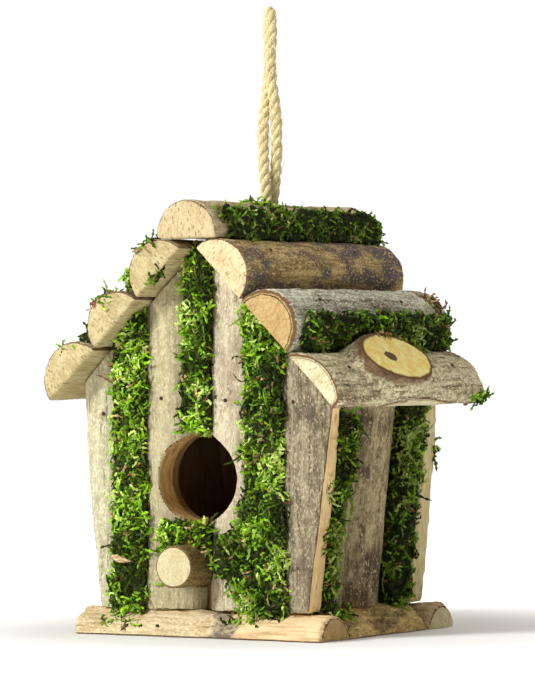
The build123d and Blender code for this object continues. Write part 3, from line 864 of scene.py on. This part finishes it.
# Light, dark and patch colours of each log's bark, then how much patch, fleck and depth.
BARKS = {
    "front_slat_1": ((0.62, 0.59, 0.4), (0.42, 0.38, 0.24), (0.34, 0.29, 0.19), 0.3, 0.3, 0.45),
    "front_slat_2": ((0.53, 0.47, 0.29), (0.37, 0.32, 0.18), (0.34, 0.27, 0.18), 0.6, 0.35, 0.55),
    "front_slat_3": ((0.6, 0.53, 0.37), (0.38, 0.31, 0.2), (0.34, 0.25, 0.19), 0.7, 0.35, 0.65),
    "front_slat_4": ((0.4, 0.34, 0.22), (0.2, 0.16, 0.1), (0.095, 0.078, 0.056), 1, 0.9, 1.2),
    "left_slat_1": ((0.55, 0.5, 0.34), (0.36, 0.31, 0.19), (0.27, 0.23, 0.15), 0.3, 0.5, 0.5),
    "left_slat_2": ((0.5, 0.44, 0.29), (0.31, 0.26, 0.16), (0.22, 0.18, 0.11), 0.4, 0.6, 0.5),
    "left_slat_3": ((0.56, 0.52, 0.36), (0.38, 0.33, 0.21), (0.3, 0.25, 0.17), 0.3, 0.5, 0.5),
    # right_slat_1's colours are darkened: painted shade, where the moss at the corner shades it.
    "right_slat_1": ((0.34, 0.285, 0.155), (0.15, 0.12, 0.055), (0.1, 0.08, 0.035), 0.8, 0.7, 0.7),
    "right_slat_2": ((0.48, 0.4, 0.23), (0.22, 0.165, 0.085), (0.09, 0.06, 0.04), 1, 0.8, 0.9),
    "right_slat_3": ((0.4, 0.33, 0.18), (0.22, 0.17, 0.08), (0.13, 0.1, 0.05), 0.5, 0.7, 0.6),
    "back_slat_1": ((0.56, 0.52, 0.36), (0.38, 0.33, 0.21), (0.28, 0.24, 0.16), 0.3, 0.5, 0.5),
    "back_slat_2": ((0.5, 0.44, 0.28), (0.32, 0.27, 0.16), (0.22, 0.18, 0.12), 0.4, 0.5, 0.5),
    "back_slat_3": ((0.58, 0.53, 0.36), (0.38, 0.32, 0.2), (0.32, 0.26, 0.19), 0.3, 0.5, 0.5),
    "back_slat_4": ((0.45, 0.39, 0.25), (0.27, 0.22, 0.13), (0.16, 0.13, 0.09), 0.6, 0.8, 0.8),
    "roof_log_left_1": ((0.4, 0.33, 0.2), (0.22, 0.17, 0.1), (0.14, 0.1, 0.07), 0.5, 0.6, 0.6),
    "roof_log_left_2": ((0.36, 0.28, 0.17), (0.19, 0.13, 0.08), (0.2, 0.09, 0.05), 0.6, 0.8, 0.9),
    "roof_log_left_3": ((0.45, 0.39, 0.25), (0.27, 0.21, 0.13), (0.18, 0.13, 0.09), 0.4, 0.6, 0.6),
    "roof_log_right_1": ((0.62, 0.47, 0.22), (0.23, 0.15, 0.055), (0.12, 0.1, 0.1), 1.2, 0.8, 0.8),
    "roof_log_right_2": ((0.68, 0.68, 0.54), (0.25, 0.22, 0.155), (0.12, 0.09, 0.05), 0.55, 0.9, 1),
    "roof_log_knot": ((0.72, 0.65, 0.42), (0.26, 0.2, 0.11), (0.17, 0.115, 0.06), 0.7, 0.8, 1),
    "ridge_log": ((0.58, 0.49, 0.31), (0.34, 0.26, 0.15), (0.13, 0.1, 0.06), 0.8, 0.6, 0.6),
    "base_log_front": ((0.78, 0.64, 0.4), (0.56, 0.42, 0.22), (0.3, 0.22, 0.13), 0.45, 0.3, 0.7),
    "base_log_back": ((0.6, 0.46, 0.27), (0.42, 0.29, 0.15), (0.28, 0.2, 0.12), 0.3, 0.4, 0.6),
    "base_log_left": ((0.58, 0.44, 0.26), (0.4, 0.28, 0.15), (0.28, 0.2, 0.12), 0.3, 0.4, 0.6),
    "base_log_right": ((0.8, 0.58, 0.26), (0.42, 0.28, 0.11), (0.13, 0.075, 0.035), 0.9, 0.8, 1.4),
    # The perch's bark colours are darkened beyond its own brown: painted shade, for its side turned away
    # from the light.
    "perch": ((0.26, 0.18, 0.07), (0.13, 0.085, 0.028), (0.1, 0.06, 0.025), 0.3, 0.5, 0.4),
}
ENDS = {
    "perch": ((0.7, 0.64, 0.39), (0.56, 0.46, 0.25)),
    "ridge_log": ((0.65, 0.53, 0.31), (0.47, 0.35, 0.18)),
    "front_slat_4": ((0.98, 0.74, 0.38), (0.76, 0.52, 0.23)),
    "roof_log_left": LEFT_END,
    "base_log_back": CREAM_END,
    "front_slat": CREAM_END,
    "back_slat": ((0.76, 0.67, 0.38), (0.56, 0.45, 0.21)),
    "left_slat": CREAM_END,
    "right_slat": CREAM_END,
    "roof_log_right_2": TAN_END,
    "base_log": TAN_END,
}


def end_colours(node):
    for start, colours in ENDS.items():
        if node.startswith(start):
            return colours
    return PALE_END


def log_group(nodes, along, out, slot, fine=0.9, swell=1.6, lumps=0.7, ridges=0.5, grit=0.35, **wood):
    """Logs that lie the same way and are as rough as each other. Amounts are in millimetres."""
    bored = bored_wood("bored_wood")
    for node in nodes:
        log = Log(node, along, out)
        light, dark, patch, patches, flecks, depth = BARKS[node]
        bark_paint = bark(node + "_bark", log, light, dark, patch, patches, flecks, depth)
        pale, deep = end_colours(node)
        sawn_paint = sawn_wood(node + "_sawn", log, pale, deep, BROWN_RIM, **wood)
        amounts = [amount * MM for amount in (fine, swell, lumps, ridges, grit)]
        make_log(log, *amounts, (bark_paint, sawn_paint, bored), slot)


def make_logs():
    for side, letter in ((-1, "left"), (1, "right")):
        along, out = leaning(side)
        slats = [f"{letter}_slat_{number}" for number in (1, 2, 3)]
        log_group(slats, along, out, "wall_bark", fine=1.1)
    log_group([f"front_slat_{number}" for number in (1, 2, 3)], Z, -Y, "wall_bark", fine=0.8)
    log_group(["front_slat_4"], Z, -Y, "wall_bark", fine=0.8, lumps=1.1, ridges=1.0, grit=0.7)
    log_group([f"back_slat_{number}" for number in (1, 2, 3, 4)], Z, Y, "wall_bark", fine=1.15)
    log_group(["roof_log_left_1", "roof_log_left_3"], *roof_slope(-1), "roof_bark")
    log_group(["roof_log_left_2"], *roof_slope(-1), "roof_bark", lumps=1.2, grit=0.9)
    log_group(["roof_log_right_1"], *roof_slope(1), "roof_bark")
    cracked = {"rim_width": 2.2, "crack": 1.0, "pores": 0.15}
    log_group(["roof_log_right_2"], *roof_slope(1), "roof_bark", lumps=1.0, grit=0.8, **cracked)
    log_group(["ridge_log"], Y, Z, "roof_bark")
    base = {"fine": 0.9, "swell": 2.6, "lumps": 2.0, "ridges": 0.9, "grit": 0.5}
    log_group(["base_log_front", "base_log_back"], X, Z, "base_bark", **base)
    log_group(["base_log_left"], Y, Z, "base_bark", **base)
    base.update(lumps=3.2, grit=1.0)
    log_group(["base_log_right"], Y, Z, "base_bark", **base)
    log_group(["perch"], Y, Z, "perch_wood", fine=0.6, swell=0.8, lumps=0.5, pores=0.1, rim_width=0.4)
    make_knot_log()


def make_knot_log():
    """The lowest right roof log, with the stub of a side branch sawn off flush."""
    log = Log("roof_log_knot", *roof_slope(1))
    bark_paint = bark("knot_log_bark", log, *BARKS["roof_log_knot"])
    sawn_paint = sawn_wood("knot_log_sawn", log, *CREAM_END, BROWN_RIM, rim_width=1.6, crack=0.5)
    heart = log.origin + log.along * (-15 * MM) + log.out * 14.5 * MM
    stub_paint = stub_wood("knot_stub", log, heart)
    amounts = [amount * MM for amount in (0.8, 1.4, 0.9, 0.8, 0.8)]
    make_log(log, *amounts, (bark_paint, sawn_paint, bored_wood("bored_wood"), stub_paint), "roof_bark")


# ---- boards
def plywood(name, light, dark):
    """Raw plywood: long grain on the faces, thin brown layers at the edges."""
    paint = Paint(name, 0.75)
    grain = paint.streaks((1, 1, 0.06), 700, 3, 0.6)
    broad = paint.streaks((1, 1, 0.2), 60)
    tone = grain * 0.6 + broad * 0.4
    colour = paint.mix(paint.step(tone, 0.35, 0.65), dark, light)
    return paint.finished(colour, grain, 0.2 * MM, 0.7 + grain * 0.2)


def paint_boards():
    """The plywood box is shown as it is in the CAD, with raw wood on it."""
    raw = plywood("raw_plywood", (0.36, 0.22, 0.1), (0.22, 0.125, 0.05))
    for node in ("floor_board", "front_panel", "back_panel", "left_panel", "right_panel"):
        mesh = frame["nodes"][node].data
        mesh.materials.clear()
        mesh.materials.append(raw)


# ---- brads
HOUSE_CENTRE = Vector((-0.004, 0, 0.1))


def loose_parts(node):
    """The points of each separate solid in a CAD node, always in the same order."""
    shape = bmesh.new()
    shape.from_mesh(frame["nodes"][node].data)
    bmesh.ops.remove_doubles(shape, verts=shape.verts, dist=MERGE)
    seen, parts = set(), []
    for first in shape.verts:
        todo, found = [first] * (first not in seen), []
        seen.add(first)
        while todo:
            vertex = todo.pop()
            found.append(vertex.co.copy())
            near = [edge.other_vert(vertex) for edge in vertex.link_edges]
            fresh = [other for other in near if other not in seen]
            seen.update(fresh)
            todo += fresh
        if found:
            parts.append(found)
    shape.free()
    return parts


def steel(name):
    """Dark, slightly rusty wire."""
    paint = Paint(name, 0.5)
    rust = paint.noise(paint.object_place(), 900, 3, 0.6)
    colour = paint.mix(paint.step(rust, 0.42, 0.6), (0.02, 0.012, 0.008), (0.1, 0.035, 0.015))
    return paint.finished(colour, rust, 0.1 * MM, 0.55 + rust * 0.35)


def brad_head(name):
    """A small domed head on a short shank, at the origin and pointing along Z."""
    bpy.ops.object.select_all(action="DESELECT")
    bpy.ops.mesh.primitive_cylinder_add(vertices=12, radius=0.85 * MM, depth=1.6 * MM)
    head = bpy.context.object
    head.name = name
    set_mode("EDIT")
    bpy.ops.mesh.select_all(action="DESELECT")
    set_mode("OBJECT")
    for face in head.data.polygons:
        face.select = face.normal.z > 0.9
    set_mode("EDIT")
    bpy.ops.mesh.select_mode(type="FACE")
    bpy.ops.mesh.inset(thickness=0.3 * MM)
    bpy.ops.transform.translate(value=(0, 0, -0.1 * MM))
    set_mode("OBJECT")
    return head


def make_brads():
    iron = steel("brad_steel")
    woods = [o for o in bpy.context.scene.objects if o.name.endswith("_wood")]
    trees = [surface_of(wood.data) for wood in woods]
    for node in ("wall_brads", "roof_brads", "base_brads"):
        heads = []
        for part in loose_parts(node):
            cloud = np.array(part)
            middle = cloud.mean(axis=0)
            _, _, rows = np.linalg.svd(cloud - middle)
            direction = Vector(rows[0])
            outward = -Y if node == "base_brads" else Vector(middle) - HOUSE_CENTRE
            if direction.dot(outward) < 0:
                direction = -direction
            ends = (cloud - middle) @ np.array(direction)
            tip = Vector(middle) + direction * float(ends.max())
            hits = [tree.ray_cast(tip + direction * 0.008, -direction, 0.02)[0] for tree in trees]
            seat = max((hit for hit in hits if hit is not None), key=direction.dot, default=None)
            if seat is None:
                continue
            head = brad_head(node + "_head")
            turn = direction.to_track_quat("Z", "Y").to_matrix().to_4x4()
            place = Matrix.Translation(seat - direction * 0.5 * MM)
            head.data.transform(place @ turn)
            heads.append(head)
        piece = joined(heads)
        piece.name = node + "_heads"
        piece.data.materials.append(iron)
        finish_piece(piece, "house", "brad_steel", node)


# ---- moss
FROND_WIDTHS = (0.05, 0.17, 0.075, 0.22, 0.085, 0.19, 0.04)


def frond_shape():
    """One straight moss frond along Z, one long, with a toothed edge all the way up."""
    bpy.ops.object.select_all(action="DESELECT")
    bpy.ops.mesh.primitive_circle_add(vertices=3, radius=FROND_WIDTHS[0], fill_type="NGON")
    frond = bpy.context.object
    set_mode("EDIT")
    bpy.ops.mesh.select_mode(type="FACE")
    bpy.ops.mesh.select_all(action="SELECT")
    rise = 1 / (len(FROND_WIDTHS) - 1)
    for number, (before, width) in enumerate(zip(FROND_WIDTHS, FROND_WIDTHS[1:]), start=1):
        step = rise * (1.4 if width < before else 0.6)
        bpy.ops.mesh.extrude_region_move(TRANSFORM_OT_translate={"value": (0, 0, step)})
        bpy.ops.transform.resize(value=(width / before, width / before, 1), center_override=(0, 0, 0))
    set_mode("OBJECT")
    edit(frond, bpy.ops.mesh.normals_make_consistent, inside=False)
    points, faces = points_of(frond.data), faces_of(frond.data)
    bpy.data.objects.remove(frond)
    return points, faces


# Moss greens from dark to pale. The palest, bluish green is a painted highlight, and the darkest greens
# partly paint the shade deep in the moss.
GREENS_WITH_PAINTED_SHADE_AND_HIGHLIGHT = (
    (0.022, 0.04, 0.001),
    (0.066, 0.124, 0.004),
    (0.125, 0.255, 0.008),
    (0.2, 0.4, 0.012),
    (0.3, 0.56, 0.02),
    (0.52, 0.68, 0.16),
)
DRY_COLOURS = ((0.5, 0.36, 0.16), (0.26, 0.12, 0.05))
LEAF_COLOURS = np.array(GREENS_WITH_PAINTED_SHADE_AND_HIGHLIGHT + DRY_COLOURS)
GREENS = len(GREENS_WITH_PAINTED_SHADE_AND_HIGHLIGHT)
DRY_SHARE = 0.05


def leaf_green(name, tone_and_painted_shade):
    """Moss fronds, darker at the foot than at the tip through the painted shade in their stored colours, and
    scaled by the moss's tone and painted shade.
    """
    paint = Paint(name, 0.62)
    paint.shader.inputs["Specular IOR Level"].default_value = 0.2
    tint = paint.attribute("leaf", "Color")
    vein = paint.noise(paint.object_place(), 1500, 2)
    # The colour is scaled by the moss's value: its own tone, with painted shade that darkens the mosses
    # turned away from the light.
    colour = paint.shade(tint, (0.65 + vein * 0.75) * tone_and_painted_shade)
    return paint.finished(colour, vein, 0.15 * MM, 0.5 + vein * 0.25)


def moss_bed(name, tone_and_painted_shade):
    """The mat that the fronds grow from, nearly black: painted shade deep among the fronds."""
    paint = Paint(name, 0.95)
    lumps = paint.noise(paint.object_place(), 500, 3, 0.7)
    # Its lighter colour is scaled like the fronds: the moss's tone, with painted shade on the side away from
    # the light.
    light = tuple(tone_and_painted_shade * part for part in (0.05, 0.07, 0.008))
    colour = paint.mix(paint.step(lumps, 0.4, 0.65), (0.008, 0.012, 0.003), light)
    return paint.finished(colour, lumps, 0.8 * MM)


def cloud(places, size, seed):
    """A soft value from 0 to 1 at each place, which changes over about this size."""
    offset = Vector((seed * 1.7, seed * 2.3, seed * 3.1))
    return np.array([0.5 + 0.5 * noise.noise(Vector(place) / size + offset) for place in places])


class MossBed:
    """Where the fronds of one moss stand: their feet, the way out, and how thick and bright it is there."""

    dry = DRY_SHARE

    def __init__(self, bed, facing, density, gaps, seed, random):
        bed.data.calc_loop_triangles()
        places = points_of(bed.data)
        corners = np.array([tuple(triangle.vertices) for triangle in bed.data.loop_triangles])
        a, b, c = (places[corners[:, corner]] for corner in range(3))
        normals = np.cross(b - a, c - a)
        areas = np.linalg.norm(normals, axis=1) / 2
        normals = unit(normals)
        middles = (a + b + c) / 3
        clumps = cloud(middles, 6 * MM, seed)
        weight = areas * np.clip(normals @ np.array(facing) + 0.7, 0, 1)
        weight = weight * np.clip(3.2 * (clumps - gaps), 0.12, 1.5)
        weight = weight * self.ragged(middles, facing, seed)
        self.count = int(weight.sum() * density)
        chosen = random.choice(len(areas), self.count, p=weight / weight.sum())
        u, v = random.random((2, self.count, 1))
        u, v = np.where(u + v > 1, 1 - u, u), np.where(u + v > 1, 1 - v, v)
        self.normals = normals[chosen]
        self.feet = a[chosen] + u * (b - a)[chosen] + v * (c - a)[chosen] - self.normals * 0.5 * MM
        self.bright = cloud(middles, 11 * MM, seed + 50)[chosen]

    @staticmethod
    def ragged(middles, facing, seed):
        """1 in the middle of a strip of moss, and in places less than that towards its long edges."""
        flat = middles - (middles @ np.array(facing))[:, None] * np.array(facing)
        flat = flat - flat.mean(axis=0)
        narrow = np.linalg.svd(flat, full_matrices=False)[2][1]
        off = np.abs(flat @ narrow)
        off = off / np.percentile(off, 96)
        room = 0.55 + 1.1 * (cloud(middles, 8 * MM, seed + 80) - 0.25)
        return np.clip(1 + 4 * (room - off), 0.03, 1)


class Scrap:
    """A loose scrap of moss stuck to a log: the same facts as a moss bed's."""

    def __init__(self, log, centre, spread, count, dry, random):
        surface = surface_of(bpy.data.objects[log + "_wood"].data)
        places = np.array(centre) + random.uniform(-1, 1, (count, 3)) * np.array(spread)
        found = [surface.find_nearest(Vector(place)) for place in places * MM]
        self.count = count
        self.dry = dry
        self.normals = np.array([tuple(hit[1]) for hit in found])
        self.feet = np.array([tuple(hit[0]) for hit in found]) - self.normals * 0.4 * MM
        self.bright = cloud(self.feet, 5 * MM, count)


def grow(moss, shape, length, lift, painted_shade_steps, random):
    """Curled fronds on a moss bed: their points, faces and colours."""
    points, faces = shape
    count = moss.count
    flat = random.normal(size=(count, 3))
    flat -= (flat * moss.normals).sum(1)[:, None] * moss.normals
    rise = random.uniform(0.05, 2 * lift, (count, 1))
    ahead = unit(unit(flat) + rise * moss.normals + np.array((0, 0, -0.25)))
    bend = unit(np.cross(ahead, random.normal(size=(count, 3)) + 0.8 * np.cross(ahead, moss.normals)))
    side = np.cross(ahead, bend)
    stray = random.random(count) < 0.02
    long = length * random.uniform(0.55, 1.45, count) * np.where(stray, 1.7, 1)
    thick = 3.9 * MM * random.uniform(0.6, 1.25, count)
    curl = random.uniform(0.6, 4.2, count) * np.where(stray, 0.3, 1)
    share = points[:, 2][None, :]
    angle = curl[:, None] * share
    forward = np.sin(angle) / curl[:, None] * long[:, None]
    sideways = (1 - np.cos(angle)) / curl[:, None] * long[:, None]
    across = points[:, 0][None, :] * thick[:, None]
    flank = points[:, 1][None, :] * thick[:, None]
    forward = forward - across * np.sin(angle)
    sideways = sideways + across * np.cos(angle)
    grown = (
        moss.feet[:, None, :]
        + forward[..., None] * ahead[:, None, :]
        + sideways[..., None] * bend[:, None, :]
        + flank[..., None] * side[:, None, :]
    )
    # A negative number of painted shade steps moves fronds towards the darker greens.
    place_in_row = painted_shade_steps + 2.1 * GREENS * (moss.bright - 0.29) + random.normal(0, 1.25, count)
    kinds = np.clip(place_in_row.round(), 0, GREENS - 1).astype(int)
    dry = random.random(count) < moss.dry
    kinds[dry] = random.integers(GREENS, len(LEAF_COLOURS), dry.sum())
    tints = LEAF_COLOURS[kinds] * random.uniform(0.8, 1.25, (count, 1))
    # Painted shade along each frond: darkest at the foot, deep in the moss, and lighter towards the tip.
    shade = 0.35 + 0.85 * share
    colours = tints[:, None, :] * shade[..., None]
    new_faces = [face for number in range(count) for face in shifted(faces, number * len(points))]
    return grown.reshape(-1, 3), new_faces, colours.reshape(-1, 3)


def frond_piece(name, parts, paint):
    """One piece from several grown parts, each with its points, faces and colours."""
    faces, first = [], 0
    for points, part_faces, _ in parts:
        faces += shifted(part_faces, first)
        first += len(points)
    piece = new_piece(name, np.concatenate([part[0] for part in parts]).tolist(), faces)
    colours = np.concatenate([part[2] for part in parts])
    opaque = np.concatenate([colours, np.ones((len(colours), 1))], axis=1)
    set_attribute(piece.data, "leaf", "FLOAT_COLOR", "color", opaque)
    piece.data.materials.append(paint)
    finish_piece(piece, "house", "moss")


# The way each moss faces, its tone, with painted shade that darkens the mosses turned away from the light,
# its fronds for each square millimetre, their length in millimetres and how far they lift
MOSSES = {
    "moss_front_left": (-Y, 1.2, 0.86, 5.6, 0.35),
    "moss_front_middle": (-Y, 1.15, 0.86, 5.2, 0.35),
    "moss_front_right": (-Y, 0.95, 0.85, 5.8, 0.35),
    "moss_perch": (-Y, 1.35, 1.1, 5.2, 0.4),
    "moss_back_1": (Y, 1, 0.42, 5.6, 0.35),
    "moss_back_2": (Y, 1, 0.42, 5.6, 0.35),
    "moss_back_3": (Y, 1, 0.42, 5.6, 0.35),
    "moss_right_corner": (X, 0.6, 0.75, 5.4, 0.35),
    "moss_right_joint": (X, 0.55, 0.75, 5.4, 0.35),
    "moss_left_front": (-X, 1, 0.42, 5.4, 0.35),
    "moss_left_rear": (-X, 1, 0.42, 5.4, 0.35),
    "moss_ridge": ((X + Z).normalized(), 0.6, 0.9, 4.2, 0.14),
    "moss_roof_right": ((X + Z).normalized(), 0.6, 0.82, 4.8, 0.25),
    "moss_roof_left_upper": ((Z - X).normalized(), 0.9, 0.6, 4.6, 0.35),
    "moss_roof_left_lower": ((Z - X).normalized(), 0.9, 0.6, 4.6, 0.35),
}


# Loose scraps: the log, the centre and the reach each way in millimetres, the fronds and, where it isn't
# DRY_SHARE, how many of them are dry
SCRAPS = (
    ("base_log_right", (45, -31, 12), (9, 9, 2), 150),
    ("base_log_front", (47, -44, 11), (5, 6, 2), 60),
    ("base_log_front", (-42, -60, 9), (9, 3, 3), 70),
    ("base_log_front", (17, -60, 9), (9, 3, 3), 60),
    ("front_slat_4", (54, -46, 64), (1, 3, 5), 30),
    ("front_slat_4", (53, -46, 41), (1, 3, 6), 36),
    ("back_slat_4", (57, 47, 78), (2, 3, 4), 40),
    ("roof_log_left_3", (-66, -58, 122), (8, 9, 3), 90),
    ("roof_log_left_2", (-45, -64, 144), (5, 5, 4), 40),
    ("roof_log_left_1", (-26, -66, 171), (4, 4, 4), 50),
    ("roof_log_left_1", (-16, -69, 150), (4, 2, 2), 26),
    ("ridge_log", (-3, -14, 185), (6, 6, 1), 170),
    ("ridge_log", (8, -60, 178), (3, 4, 5), 60),
    ("roof_log_knot", (72, 57, 98), (4, 7, 2), 60),
    ("front_slat_2", (-19, -56, 26), (4, 1, 4), 26),
    ("roof_log_left_2", (-53, -58, 147), (5, 9, 3), 110, 0.95),
    ("roof_log_right_2", (49, 60, 146), (5, 6, 3), 70, 0.9),
    ("roof_log_knot", (54, -8, 128), (5, 3, 4), 50, 0.8),
)


def make_scraps(shape):
    """The bits of moss that strayed from the joints when it was glued in."""
    random = np.random.default_rng(77)
    parts = []
    for log, centre, spread, count, *dry in SCRAPS:
        scrap = Scrap(log, centre, spread, count, *(dry or [DRY_SHARE]), random)
        parts.append(grow(scrap, shape, 5 * MM, 0.3, 0, random))
    frond_piece("moss_scraps", parts, leaf_green("moss_scraps_leaf", 0.9))


def make_dry_leaf():
    """A small dry leaf, curled along its middle, that lies in the left strip of moss."""
    rows, columns = 13, 5
    along, across = np.meshgrid(np.linspace(0, 1, rows), np.linspace(-1, 1, columns), indexing="ij")
    width = 1.5 * np.sin(math.pi * (0.08 + 0.92 * along).clip(0, 1) ** 0.8)
    bow = 0.9 * across**2 - 1.2 * np.sin(math.pi * along)
    points = np.stack([(along - 0.5) * 10, bow, across * width + 1.6 * (along - 0.5) ** 2], axis=2) * MM
    corners = [row * columns + column for row in range(rows - 1) for column in range(columns - 1)]
    faces = [(near, near + 1, near + columns + 1, near + columns) for near in corners]
    leaf = new_piece("dry_leaf", points.reshape(-1, 3).tolist(), faces)
    low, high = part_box("moss_front_left")
    place = Matrix.Translation(((low.x + high.x) / 2 - 1 * MM, low.y - 2.5 * MM, 32 * MM))
    leaf.data.transform(place @ Matrix.Rotation(math.radians(12), 4, "Y"))
    apply(leaf, "SOLIDIFY", thickness=0.3 * MM, offset=0)
    apply(leaf, "SUBSURF", levels=1, render_levels=1)
    paint = Paint("dry_leaf", 0.6)
    fibres = paint.streaks((0.3, 1, 1), 1500, 3, 0.6)
    colour = paint.mix(paint.step(fibres, 0.4, 0.65), (0.42, 0.26, 0.12), (0.86, 0.7, 0.46))
    leaf.data.materials.append(paint.finished(colour, fibres, 0.15 * MM, 0.5 + fibres * 0.2))
    leaf.data.shade_smooth()
    finish_piece(leaf, "house", "moss")


def make_moss():
    shape = frond_shape()
    make_dry_leaf()
    make_scraps(shape)
    tufts = soft_noise("tufts", 6 * MM)
    for seed, (node, (facing, tone_and_painted_shade, density, length, lift)) in enumerate(MOSSES.items()):
        random = np.random.default_rng(100 + seed)
        bed = merged_copy(node, node + "_bed")
        apply(bed, "REMESH", mode="VOXEL", voxel_size=1.3 * MM, use_smooth_shade=True)
        apply(bed, "DISPLACE", texture=tufts, texture_coords="GLOBAL", strength=4.5 * MM, mid_level=0.66)
        bed.data.materials.clear()
        bed.data.materials.append(moss_bed(node + "_mat", tone_and_painted_shade))
        low = MossBed(bed, facing, 0.5 * density * 1e6, -1, seed, random)
        tall = MossBed(bed, facing, density * 1e6, 0.3, seed, random)
        # The low fronds take darker greens: painted shade under the tall fronds.
        under = grow(low, shape, 0.55 * length * MM, lift, -1.6, random)
        over = grow(tall, shape, length * MM, lift, 0, random)
        finish_piece(bed, "house", "moss", node)
        frond_piece(node + "_fronds", (under, over), leaf_green(node + "_leaf", tone_and_painted_shade))


# ---- the whole birdhouse
make_camera()
make_rope()
make_studio()
round_holes_made = round_holes()
make_logs()
paint_boards()
make_brads()
make_moss()
